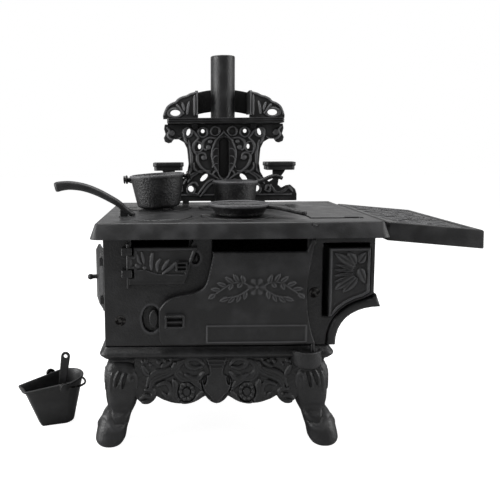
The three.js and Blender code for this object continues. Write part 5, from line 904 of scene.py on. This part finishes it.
# Backsplash: a thin pierced casting of scrolls and leaves, mirrored about a long slot. Two feet are pegged into
# the rear edge of the cook top; its top carries the warming shelf, and two short necks carry teapot shelves.
SPLASH_X, SPLASH_LOW, SPLASH_HIGH, SPLASH_FRONT, SPLASH_BACK = -1.8, 172.6, 71.8, 53.5, 56.1
LEAF_EDGE = np.array([(0, 66), (8.4, 57.5), (11.7, 49), (12.1, 41.5), (10.3, 33), (5.6, 25.5), (3.7, 21.2),
                      (0, 19)])
SPLASH_LINES = [
    [(1, 60.5), (6, 59), (13, 59.5), (17, 58), (19.8, 54.5), (19.5, 50.5), (17, 48.3), (14.8, 50)],
    [(16.5, 40), (18, 44.5), (21.5, 45.5), (24.5, 43.5), (24.8, 38), (22, 32.5), (17, 28.5), (11, 25), (5, 21)],
    [(23.4, 59.4), (27, 55), (29, 50.5), (27.5, 46.5), (25.3, 43.5)], [(23.4, 59.4), (26, 63), (30, 67)],
    [(33, 57), (31, 48), (30.4, 38), (31, 30), (32.5, 27)], [(28, 36), (28.5, 31.5), (25, 28), (20.5, 27)],
    [(13, 28.3), (20, 28.6), (27, 26.8), (33.5, 22.6), (38, 16.5)], [(24, 27), (30, 23.5), (34, 18)],
    [(26, 7), (31, 8), (33, 12), (31, 16.5), (27, 17.5), (24.5, 14.5)],
    [(24.3, 6.6), (20, 12), (16, 17), (12, 19.8), (9, 20.3)], [(22, 4.6), (18, 10), (14, 15), (10, 17.5)],
    [(39, 10), (41, 14.5), (44, 12.5), (42.5, 9), (39.5, 9.5)],
    [(44, 15), (47, 10), (50, 7.5), (56, 9), (61, 12.5), (64.5, 9)],
    [(40, 60), (44, 58), (49, 58.5), (52, 62), (50.5, 66), (53, 69)], [(34, 69), (37, 64), (36, 58), (34, 54)],
]
VEINS = [[(5.5, z + 1.5), (8.5, z + 1), (11, z - 2.5)] for z in (48, 41, 34, 27)]
BALLS = [(12.6, 56, 2.3), (14.5, 50.5, 2.6), (18.7, 41, 2.8), (49, 64, 3.4), (59, 15, 2.6)]
RINGS = ((19.6, 64.6, 4.4), (8, 65.5, 4.2), (33.5, 64.6, 4.2), (24.5, 51, 4.8), (31, 10.4, 3.6))
splash_rim = rim_of("backsplash", BACK, SPLASH_BACK, SPLASH_X)
# Scrolls: painted shade nearly black in the hollows, and a bright grey along each raised line that is partly paint
# rubbed by many hands and partly a painted highlight
scroll_iron = cast_iron("rubbed_and_highlit_scroll_cast_iron", "#141415", "#707072", 0.5, 1.1, 0.12)


def splash_carving(p):
    """Lift of the backsplash: half-round scrolls, a long leaf round the slot, and raised rings at the pockets.

    It stays flat beside the rear lids, which pass it when they are lifted out.
    """
    q = mirrored(p - [0, SPLASH_LOW])
    leaf = from_outline(q, np.vstack([LEAF_EDGE, LEAF_EDGE[::-1] * [-1, 1]]))
    foot = (np.abs(q[:, 1] - 6) < 0.8) & (q[:, 0] < 64)
    raised = [ridges(q, SPLASH_LINES, 1.5, 1.2), ridges(q, VEINS, 1.0, 1.5), buttons(q, BALLS, 1.6), 0.8 * foot,
              0.8 * np.clip(-leaf / 0.6, 0, 1), 1.4 * half_round(leaf + 0.9, 1.1)]
    raised += [1.1 * half_round(np.hypot(q[:, 0] - x, q[:, 1] - y) - radius, 1) for x, y, radius in RINGS]
    by_lids = (q[:, 0] > 44) & (q[:, 1] < 20)
    return np.minimum(np.maximum.reduce(raised), np.where(by_lids, 0.75, 3))


def past_edge(p):
    """Signed distance from the outline, its top edge drawn up against the shelf over it."""
    return from_rim(p - [0, 0.35] * (p[:, 1:] > SPLASH_LOW + SPLASH_HIGH - 6), splash_rim)


carved_plate("pierced_backsplash", "backsplash", past_edge, span_of(splash_rim), 0.5, -SPLASH_FRONT, -SPLASH_BACK,
             scroll_iron, splash_carving, 0.8, FRONT, (SPLASH_X, 0, 0))
ARM_OFFSET, ARM_REACH, ARM_THICK = 27.0, 12.0, 4.6
top = SPLASH_LOW + SPLASH_HIGH
wedge = np.array([(0, top), (0, top - ARM_THICK), (-2.6, top - ARM_THICK), (-ARM_REACH, top)])
wedge += [SPLASH_FRONT + 0.4, -0.05]
for side, word in SIDES:
    face = SPLASH_X + side * ARM_OFFSET + ARM_THICK / 2
    carved_plate(f"shelf_arm_{word}", "backsplash", lambda p: from_outline(p, wedge),
                 ((SPLASH_FRONT - ARM_REACH - 1, SPLASH_FRONT + 2), (top - 6, top + 1)), 0.45, face, face - ARM_THICK,
                 smooth_iron, None, 0.5, RIGHT)


# Warming shelf: a flat iron casting with two grooves run round its edge. It lies on the backsplash's top and
# its two arms, and the crest's rivets hold it down.
SHELF_LEFT, SHELF_RIGHT, SHELF_FRONT, SHELF_LOW = -54.3, 50.7, 29.1, 244.7
SHELF_PROFILE = [(-0.7, 0), (-0.2, 0.15), (0, 0.6), (-0.1, 1.1), (-0.75, 1.4), (-0.1, 1.7), (0, 2.3), (-0.1, 2.9),
                 (-0.75, 3.2), (-0.1, 3.5), (0, 4.0), (-0.2, 4.45), (-0.7, 4.6)]
profile = [(out, SHELF_LOW + up) for out, up in SHELF_PROFILE]
points = moulding(SHELF_LEFT, SHELF_RIGHT, SHELF_FRONT, SPLASH_BACK, 2.5, profile)
cast_grid("reeded_warming_shelf", "warming_shelf", capped(points), smooth_iron)


# Crest: one casting of two ribbed wings that stand on the warming shelf, each with an oval hole, and a bridge
# that joins them behind the flue. The wings are painted like the scrolls, the bridge and its cheeks near black as
# painted shade.
CREST_LOW, CREST_HIGH, CREST_HALF = 249.6, 26.0, 56.5
CREST_TOP, ARCH, CREST_WALL = CREST_LOW + CREST_HIGH, 26.5, 2.6
WING = [(1, 0), (1, 0.16), (0.95, 0.42), (0.88, 0.555), (0.8, 0.63), (0.76, 0.72), (0.69, 0.8), (0.62, 0.84),
        (0.555, 0.91), (0.47, 0.96)]
wing = smooth_path([(x * CREST_HALF, CREST_LOW + y * CREST_HIGH) for x, y in WING], 70)
wing = np.vstack([wing, [(ARCH - CREST_WALL, CREST_TOP), (ARCH - CREST_WALL, CREST_LOW)]])
CREST_RIBS = [[(43.9, 262.8), (41, 259), (37.4, 254.3)], [(38.8, 264.2), (37.4, 260), (36.9, 257.2)],
              [(32.2, 265.1), (33.6, 259), (34.1, 253.8)], [(27.3, 271), (27.0, 262), (27.3, 253)]]


def from_hole(q):
    """Signed distance from the oval hole of a wing."""
    return from_oval(q, (0.8 * CREST_HALF, CREST_LOW + 0.22 * CREST_HIGH), (4.6, 2.8))


def crest_edge(p):
    """Wing outline less its oval hole."""
    return np.maximum(from_outline(mirrored(p), wing), -from_hole(mirrored(p)))


def crest_carving(p):
    """Lift of a wing: a scalloped border, slanting ribs, and a raised ring round the hole."""
    q = mirrored(p)
    border = half_round(-from_outline(q, wing) - 1.2, 1.2) * (q[:, 1] > CREST_LOW + 3)
    return np.maximum.reduce([ridges(q, CREST_RIBS, 1.4, 1.2), border, half_round(from_hole(q) - 1, 1.2)])


carved_plate("crest_wings", "crest", crest_edge, ((-58, 58), (249, 277)), 0.45, -SPLASH_FRONT,
             -SPLASH_FRONT - CREST_WALL, scroll_iron, crest_carving, 0.7, FRONT, (SPLASH_X, 0, 0))
low, high = box_of("crest")
# Painted shade for the recess behind the flue: near-black iron with no gloss and hardly any grain, the darkest thing
# on the stove
shade_black_iron = cast_iron("painted_shade_black_cast_iron", "#060606", "#141414", 0.75, 1.3, 0.2)
BRIDGE_LOW, BRIDGE_FRONT, BRIDGE_BOW = CREST_LOW + 5, high[1] - CREST_WALL, 3.5
cheek = lambda p: box_gap(p, SPLASH_FRONT + 0.8, high[1] - 0.6, BRIDGE_LOW, CREST_TOP, 0.8)
for side, word in SIDES:
    face = SPLASH_X + side * ARCH + (CREST_WALL if side < 0 else 0)
    carved_plate(f"crest_cheek_{word}", "crest", cheek, ((53, 83), (252, 277)), 0.6, face, face - CREST_WALL,
                 shade_black_iron, None, 0.5, RIGHT)


def bridge(p):
    """A band bowed up in its middle, between two parabolas."""
    bow = BRIDGE_BOW * (1 - (p[:, 0] / ARCH) ** 2)
    return np.maximum.reduce([BRIDGE_LOW + bow - p[:, 1], p[:, 1] - CREST_TOP - bow, np.abs(p[:, 0]) - ARCH])


carved_plate("crest_bridge", "crest", bridge, ((-28, 28), (253, 281)), 0.6, -BRIDGE_FRONT,
             -BRIDGE_FRONT - CREST_WALL, shade_black_iron, None, 0.6, FRONT, (SPLASH_X, 0, 0))


# Teapot shelves: two small iron plates with a stepped edge and round corners, one at each side of the
# backsplash, riveted on the necks of its scroll brackets.
SHELF_STEPS = [(-1.4, 0), (-1.05, 0.2), (-1, 3.3), (-0.6, 3.7), (-0.15, 3.85), (0, 4.2), (0, 6.8), (-0.2, 7.25),
               (-0.6, 7.4)]
for node in ("teapot_shelf_left", "teapot_shelf_right"):
    low, high = box_of(node)
    profile = [(out, low[2] + up) for out, up in SHELF_STEPS]
    points = moulding(low[0], high[0], low[1], high[1], 4.6, profile, 10)
    cast_grid(f"{node}_plate", node, capped(points), smooth_iron)


# Flue pipe: a plain hollow iron casting, rough from the sand. It drops into a collar behind the backsplash,
# passes through the bow of the crest's bridge and lifts out.
low, high = box_of("flue_pipe")
FLUE_OUTER, FLUE_BORE = 11.5, 9.5
profile = [(FLUE_BORE, low[2]), (FLUE_OUTER - 0.3, low[2]), (FLUE_OUTER, low[2] + 0.3), (FLUE_OUTER, high[2] - 0.5),
           (FLUE_OUTER - 0.5, high[2]), (FLUE_BORE + 0.4, high[2]), (FLUE_BORE, high[2] - 0.4), (FLUE_BORE, low[2])]
points = lathe(profile, 96, (low[:2] + high[:2]) / 2)
cast_grid("flue_tube", "flue_pipe", points, pebbly_iron, round_rows=True)


# Side shelf: a shallow tray casting upside down, pierced with leaf slots. Two tongues hook it into the right
# apron of the cook top, and it droops a little in their slack.
def turned(p, angle, one, two):
    """Turns points by an angle from axis one towards axis two."""
    p = np.array(p, float)
    a, b = p[..., one].copy(), p[..., two].copy()
    p[..., one] = a * math.cos(angle) - b * math.sin(angle)
    p[..., two] = a * math.sin(angle) + b * math.cos(angle)
    return p


HOOK_AT, DROOP = np.array([106.2, 0, 164.5]), math.radians(5.5)
SIDE_START, SIDE_END, SIDE_HALF, SIDE_LOW, SIDE_HIGH, SIDE_WALL, SIDE_BORDER = 3.6, 75.6, 71.0, -10.0, 3.6, 3.0, 5.0
outwards, upwards = turned([1, 0, 0], -DROOP, 0, 2), turned([0, 0, 1], -DROOP, 0, 2)
TILTED = (outwards, (0, 1, 0))
face, hook = SIDE_HIGH + HOOK_AT @ upwards, HOOK_AT @ outwards
side_rim = rim_of("side_shelf", TILTED, face, hook)
SIDE_LINES = [[(9, 8), (16, 13), (26, 12), (31, 5), (24, 1)], [(62, 7), (55, 12), (45, 12), (40, 5), (46, 1)],
              [(10, 30), (20, 35), (30, 31), (33, 24), (26, 21)], [(62, 31), (52, 36), (43, 31), (40, 24), (46, 21)],
              [(11, 62), (20, 57), (30, 60), (36, 65)], [(62, 61), (52, 57), (43, 60), (36, 65)],
              [(36, 3), (36, 14), (35, 24), (36, 34)], [(36, 42), (30, 47), (22, 46), (15, 50)],
              [(36, 42), (43, 47), (51, 46), (58, 50)]]
SIDE_LEAVES = [((13, 20), (24, 17)), ((60, 19), (48, 17)), ((14, 42), (26, 41)), ((60, 42), (48, 41)),
               ((36, 50), (36, 60)), ((24, 52), (33, 53)), ((50, 52), (40, 53))]


def side_carving(p):
    """Lift of the side shelf's top: scrolls and leaves mirrored front to back round a smooth border."""
    q = mirrored(p[:, ::-1])[:, ::-1]
    top = np.maximum(ridges(q, SIDE_LINES, 1.5, 1.0), leaves(q, SIDE_LEAVES, 2.6, 1.0))
    inside = -box_gap(p, SIDE_START, SIDE_END - 1.5, -SIDE_HALF + 1.5, SIDE_HALF - 1.5)
    return np.where(inside < SIDE_BORDER, 0.8 * np.clip((SIDE_BORDER - inside) / 0.6, 0, 1), top) - 0.8


rim_plate("pierced_side_shelf_top", "side_shelf", side_rim, 0.6, face, face - SIDE_WALL, smooth_iron, side_carving,
          0.7, TILTED, hook * outwards)
flare = SIDE_WALL / 2
APRON = [(-SIDE_WALL, SIDE_LOW), (-0.5, SIDE_LOW), (-0.1, SIDE_LOW + 0.3), (-0.05, SIDE_LOW + 0.8),
         (-flare + 0.15, SIDE_HIGH - 1.2), (-flare - 0.1, SIDE_HIGH - 0.5), (-flare - 0.7, SIDE_HIGH - 0.15),
         (-flare - 1.6, SIDE_HIGH - 0.1), (-flare - SIDE_WALL, SIDE_HIGH - 1.2)]
points = moulding(SIDE_START, SIDE_END, -SIDE_HALF, SIDE_HALF, 1.5, APRON, 5)
points[..., 0] = np.maximum(points[..., 0], SIDE_START)
cast_grid("side_shelf_apron", "side_shelf", turned(points, -DROOP, 0, 2) + HOOK_AT, smooth_iron, round_rows=True)


# Cookware: a bail pot, a saucepan and a skillet, each cast in one piece with its ears or handle.
# The bail pot leans on the gate mark left under it by the mould; its wire bail hangs from two ears.
BOWL_FLOOR = 1.7
# The roughest casting of all: deep grain that catches the light as coarse glints, rims rubbed to a soft grey
cookware_iron = cast_iron("coarse_pebbly_cast_iron", "#161617", "#606062", 0.44, 1.9, 1.0)


def bowl(node, centre, floor_z, rim, base, height, foot, lean=0.0):
    """Bowl turned about its axis: rounded foot, straight flared side, rolled rim and a rounded inside."""
    outside = [(base - foot * 1.6, 0), (base - foot, 0), (base - foot * 0.3, foot * 0.3), (base, foot)]
    lip = [(rim - 0.9, height - 2.4), (rim - 0.2, height - 1.9), (rim, height - 1.1), (rim - 0.1, height - 0.4),
           (rim - 0.6, height), (rim - 1.8, height), (rim - 2.4, height - 0.5), (rim - 2.6, height - 1.4)]
    inside = [(base - 1.8, foot + 0.6), (base - foot * 0.6, 2.6), (base - foot - 1, BOWL_FLOOR)]
    profile = np.vstack([(0, 0), smooth_path(outside + lip + inside, 90), (0, BOWL_FLOOR)])
    profile[:, 0] = np.maximum(profile[:, 0], 0)
    points = turned(lathe(profile, 120), math.radians(lean), 0, 2) + [*centre, floor_z]
    rubbed_rim = np.clip((profile[:, 1:] - height + 2.8) / 1.0, 0, 1)
    relief = np.broadcast_to(rubbed_rim, points.shape[:2]).ravel()
    cast_grid(f"{node}_bowl", node, points, cookware_iron, relief)


def bar(name, node, material, path, width, thickness, across, squareness=3.0, sides=28):
    """A bar swept along a path: each section is |a/w|^n + |b/t|^n = 1, its width lying along 'across'.

    Width and thickness are arrays along the path and shrink to nothing at ends that are to be round.
    """
    path = np.asarray(path, float)
    way = np.gradient(path, axis=0)
    way /= np.linalg.norm(way, axis=1, keepdims=True)
    across = np.broadcast_to(np.asarray(across, float), path.shape)
    up = np.cross(way, across)
    up /= np.linalg.norm(up, axis=1, keepdims=True)
    turn = np.arange(sides) / sides * 2 * np.pi
    ca, sa = np.cos(turn), np.sin(turn)
    shape = np.stack([ca, sa]) / (np.abs(ca) ** squareness + np.abs(sa) ** squareness) ** (1 / squareness)
    width, thickness = (np.broadcast_to(v, len(path))[:, None, None] for v in (width, thickness))
    rings = path[:, None] + across[:, None] * shape[0][None, :, None] * width / 2 \
        + up[:, None] * shape[1][None, :, None] * thickness / 2
    cast_grid(name, node, capped(rings, path[0], path[-1]), material)


def round_end(t, reach, start=False):
    """Share of full width near the end of a bar: a half circle over its last reach, as share of its length."""
    share = np.sqrt(np.clip(1 - np.clip((t - 1 + reach) / reach, 0, 1) ** 2, 0.003, 1))
    return share * np.sqrt(np.clip(1 - np.clip((reach - t) / reach, 0, 1) ** 2, 0.003, 1)) if start else share


POT_AT, POT_Z, POT_LEAN, POT_HIGH, POT_RIM = (-61.3, 12.0), 171.355, 3.5, 29.0, 23.8
bowl("bail_pot", POT_AT, POT_Z, POT_RIM, 19.2, POT_HIGH, 5.5, POT_LEAN)


def leant(p):
    """Turns points from the pot's own upright axes to where it leans on the lid."""
    return turned(p, math.radians(POT_LEAN), 0, 2) + [*POT_AT, POT_Z]


EAR_Z, EAR_REACH = POT_HIGH * 0.9, 5.4
BUTTON_THICK, BUTTON_RADIUS, STUB_RADIUS = 1.395, 3.4, 1.6


def ear(name, node, material, path, across):
    """A round stub with a button at its end, from a path outwards; a wire eye hangs on it."""
    left = np.linalg.norm(path - path[-1], axis=1)
    radius = np.where(left < BUTTON_THICK, BUTTON_RADIUS, STUB_RADIUS)
    radius[-1] = 2.6
    bar(name, node, material, path, 2 * radius, 2 * radius, across, 2.0, 24)


for side, word in SIDES:
    x = np.linspace(POT_RIM - 1.6, POT_RIM + EAR_REACH, 26)
    path = leant(np.stack([side * x, 0 * x, 0 * x + EAR_Z], 1))
    ear(f"bail_pot_ear_{word}", "bail_pot", cookware_iron, path, (0, 1, 0))
# The gate mark under it, on which it leans
GATE_HALF, GATE_THICK, GATE_X = 4.5, 2.4, 10.8
t = np.linspace(-GATE_HALF, GATE_HALF, 14)
gate_path = leant(np.stack([0 * t + GATE_X, t, 0 * t - 0.35], 1))
gate_wide = GATE_THICK * round_end((t + GATE_HALF) / (2 * GATE_HALF), 0.1, True)
bar("bail_pot_gate_mark", "bail_pot", cookware_iron, gate_path, gate_wide, GATE_THICK, (1, 0, 0), 5)


WIRE, LOOP = 0.9, 2.9
POT_EYE, POT_BAIL_DEPTH, POT_BAIL_REST = POT_RIM + EAR_REACH / 2, POT_RIM * 1.15, math.radians(14)


def wire_eye(name, node, place, centre, along):
    """A closed eye of round wire about an ear, in the upright plane along one axis: circles set round a circle."""
    turn = np.linspace(0, 2 * np.pi, 40, endpoint=False)
    path = np.zeros((40, 3))
    path[:, along], path[:, 2] = LOOP * np.cos(turn), LOOP * np.sin(turn)
    path = place(path + centre)
    way = np.roll(path, -1, 0) - np.roll(path, 1, 0)
    way /= np.linalg.norm(way, axis=1, keepdims=True)
    normal = np.cross(path[10] - path[0], path[20] - path[0])
    normal /= np.linalg.norm(normal)
    side = np.cross(way, normal)
    turn = np.arange(12)[None, :, None] / 12 * 2 * np.pi
    rings = path[:, None] + WIRE * (side[:, None] * np.cos(turn) + normal * np.sin(turn))
    cast_grid(name, node, rings, steel, round_rows=True)


# The bail is a half hoop of wire that hangs behind the pot, deepest in its middle
turn = np.linspace(0, np.pi, 70)
hoop = np.stack([POT_EYE * np.cos(turn), LOOP + (POT_BAIL_DEPTH - LOOP) * np.sin(turn), 0 * turn], 1)
hoop = leant(turned(hoop, -POT_BAIL_REST, 1, 2) + [0, 0, EAR_Z])
bar("pot_bail_wire", "pot_bail", steel, hoop, 2 * WIRE, 2 * WIRE, (math.sin(0.25), 0, math.cos(0.25)), 2.0, 16)
for side, word in SIDES:
    wire_eye(f"pot_bail_eye_{word}", "pot_bail", leant, [side * POT_EYE, 0, EAR_Z], 1)

HANDLE_WIDE, HANDLE_THICK = 8.0, 3.5


def pan_handle(node, centre, floor_z, rim, height, length, rise, rows, turn_deg):
    """Flat handle from inside the rim outwards, wider towards its round end, along a smooth rise."""
    t, turn = np.linspace(0, 1, 60), math.radians(turn_deg)
    path = smooth_path([(rim + out * length, 0, height - HANDLE_THICK / 2 + up * rise) for out, up in rows], 60)
    path = turned(path, turn, 0, 1) + [*centre, floor_z]
    width = HANDLE_WIDE * (0.72 + 0.28 * t) * round_end(t, 0.14)
    thick = HANDLE_THICK * (0.85 + 0.15 * round_end(t, 0.1))
    thick[-1] = 0.8
    bar(f"{node}_handle", node, cookware_iron, path, width, thick, turned([0, 1, 0], turn, 0, 1), 3.2)


PAN_Z = 170.3
SAUCE_AT, SAUCE_RIM, SAUCE_HIGH = (6.0, 24.0), 20.2, 23.2
bowl("saucepan", SAUCE_AT, PAN_Z, SAUCE_RIM, 17.6, SAUCE_HIGH, 3.4)
pan_handle("saucepan", SAUCE_AT, PAN_Z, SAUCE_RIM, SAUCE_HIGH, 22.4, 5.6,
           [(-0.12, 0), (0.25, 0.45), (0.5, 0.85), (0.72, 1), (1, 0.6)], 0)
SKILLET_AT, SKILLET_RIM, SKILLET_HIGH = (3.4, -41.0), 24.0, 9.6
bowl("skillet", SKILLET_AT, PAN_Z, SKILLET_RIM, 19.8, SKILLET_HIGH, 3.4)
pan_handle("skillet", SKILLET_AT, PAN_Z, SKILLET_RIM, SKILLET_HIGH, 29.0, 4.6,
           [(-0.1, 0), (0.3, -0.2), (0.7, -0.65), (1, -1)], -26)


# Lid lifter: an arched bar cast in one piece. Its thin toe rests on a lid, and a small lug under it
# stands in the lid's notch.
LIFT_TOE, LIFT_Y, LIFT_REACH, LIFT_RISE, LIFT_WIDE, LIFT_THICK, TOE_THICK = -78.1, -38.0, 63.0, 23.2, 8.4, 4.4, 1.6
LIFT_ROWS = [(0, 0), (0.06, 0.05), (0.13, 0.18), (0.2, 0.35), (0.285, 0.5), (0.465, 0.76), (0.635, 0.93), (0.8, 1),
             (0.92, 0.98), (1, 0.93)]
LIFT_END, NOTCH_Z, LUG_HALF = 0.93, 169.5, 2.8
t = np.linspace(0, 1, 90)
path = smooth_path([(LIFT_TOE - out * LIFT_REACH, LIFT_Y, PAN_Z + TOE_THICK / 2 + up * LIFT_RISE)
                    for out, up in LIFT_ROWS], 90)
thick = TOE_THICK + (LIFT_THICK - TOE_THICK) * np.clip(t / 0.16, 0, 1) + 4.0 * t ** 2
thick = thick * np.where(t > LIFT_END, 0.55 + 0.45 * round_end(t, 1 - LIFT_END), 1)
bar("lid_lifter_bar", "lid_lifter", smooth_iron, path, LIFT_WIDE * round_end(t, 1 - LIFT_END, True), thick,
    (0, 1, 0), 3.4)
lug = lambda p: box_gap(p, LIFT_TOE - 0.19 * LIFT_REACH, LIFT_TOE - 0.1 * LIFT_REACH, NOTCH_Z, NOTCH_Z + 5.5, 0.5)
carved_plate("lid_lifter_lug", "lid_lifter", lug, ((LIFT_TOE - 13, LIFT_TOE - 6), (169, 176)), 0.35,
             LUG_HALF - LIFT_Y, -LIFT_Y - LUG_HALF, smooth_iron, None, 0.4)


# Coal hod: a thin cast iron bucket with a flat spout and a half-round back, its rim rolled outwards. A wire bail
# hangs in its ears, and a small cast shovel leans in it.
HOD_AT, HOD_TURN, HOD_HIGH, HOD_DROP, HOD_WALL = (-146.0, -34.6), math.radians(30), 38.0, 5.0, 1.4
HOD_BASE, HOD_RIM, LIP_REACH = (28.0, 19.0, 10.2, 0.0), (49.4, 31.0, 17.0, -2.2), 2.5


def hod_ring(length, width, spout, centre, count=120):
    """Plan of the hod: half circle at its back, straight sides that narrow to the spout; corners rounded."""
    radius = width / 2
    front, back = centre - length / 2, centre + length / 2
    turn = np.linspace(-np.pi / 2, np.pi / 2, 49)
    arc = np.stack([back - radius + radius * np.cos(turn), radius * np.sin(turn)], 1)
    corner = np.array([(front + 2.2, spout / 2 + 0.35), (front + 0.7, spout / 2 - 0.1), (front, spout / 2 - 1.8)])
    ring = np.vstack([arc, corner, corner[::-1] * [1, -1], arc[:1]])
    way = np.concatenate([[0], np.cumsum(np.linalg.norm(np.diff(ring, axis=0), axis=1))])
    at = np.linspace(0, way[-1], count, endpoint=False)
    return np.stack([np.interp(at, way, ring[:, 0]), np.interp(at, way, ring[:, 1])], 1)


def hod_shell(share, inset, lip=0.0):
    """Ring of the shell at a share of its height, drawn inwards, with the rim dipping towards the spout."""
    low, high = hod_ring(*HOD_BASE), hod_ring(*HOD_RIM)
    plan = low + (high - low) * share
    step = np.roll(plan, -1, 0) - np.roll(plan, 1, 0)
    normal = np.stack([step[:, 1], -step[:, 0]], 1) / np.linalg.norm(step, axis=1, keepdims=True)
    length, _, _, centre = HOD_RIM
    front = np.clip((centre + 4 - high[:, 0]) / 24, 0, 1)
    plan = plan - normal * inset
    plan[:, 0] -= lip * front * LIP_REACH
    rim = HOD_HIGH - HOD_DROP * (centre + length / 2 - high[:, 0]) / length
    return np.column_stack([plan, rim * share])


HOD_RINGS = [(0.0, 0.6, 0), (0.01, 0.15, 0), (0.04, 0, 0), (0.3, 0, 0), (0.6, 0, 0), (0.86, 0, 0), (0.93, 0, 0.2),
             (0.945, -0.35, 0.4), (0.965, -0.6, 0.6), (0.985, -0.5, 0.8), (1.0, 0.1, 0.9), (0.999, 1.0, 0.9),
             (0.98, 1.4, 0.6), (0.9, 1.4, 0.1), (0.6, 1.4, 0), (0.3, 1.4, 0), (0.08, 1.5, 0), (0.045, 2.2, 0)]
rings = np.array([hod_shell(*row) for row in HOD_RINGS])


def stood(p):
    """Turns points from the hod's own axes to where it stands on the table."""
    return turned(p, HOD_TURN, 0, 1) + [*HOD_AT, 0]


cast_grid("coal_hod_shell", "coal_hod", stood(capped(rings, (0, 0, 0), (0, 0, HOD_WALL))), smooth_iron)
HOD_EAR_X, HOD_EAR_Z, HOD_EAR_OUT = 1.0, 34.0, 17.3
for side, word in SIDES:
    y = np.linspace(HOD_EAR_OUT - 3.4, HOD_EAR_OUT + 2.4, 26)
    path = stood(np.stack([0 * y + HOD_EAR_X, side * y, 0 * y + HOD_EAR_Z], 1))
    ear(f"coal_hod_ear_{word}", "coal_hod", smooth_iron, path, (math.cos(HOD_TURN), math.sin(HOD_TURN), 0))
HOD_BAIL_OUT, HOD_BAIL_DROP = HOD_RIM[1] / 2 + 2 * WIRE, math.radians(9)
arc_x = HOD_RIM[3] + (HOD_RIM[0] - HOD_RIM[1]) / 2 - HOD_EAR_X
turn = np.linspace(-np.pi / 2, np.pi / 2, 15)
arch = np.stack([arc_x + HOD_BAIL_OUT * np.cos(turn), HOD_BAIL_OUT * np.sin(turn)], 1)
start = np.array([[LOOP, -HOD_BAIL_OUT], [arc_x / 2, -HOD_BAIL_OUT]])
hoop = np.pad(smooth_path(np.vstack([start, arch, start[::-1] * [1, -1]]), 90), ((0, 0), (0, 1)))


def hung(p):
    """Drops a shape in the plane of the rim by the bail's slant and stands it at the hod's ears."""
    return stood(turned(p, -HOD_BAIL_DROP, 0, 2) + [HOD_EAR_X, 0, HOD_EAR_Z])


bar("hod_bail_wire", "hod_bail", steel, hung(hoop), 2 * WIRE, 2 * WIRE, (0.15, 0, 1), 2.0, 16)
for side, word in SIDES:
    wire_eye(f"hod_bail_eye_{word}", "hod_bail", hung, [0, side * HOD_BAIL_OUT, 0], 0)
softened("coal_shovel_blade", "coal_shovel", smooth_iron, 0.5)
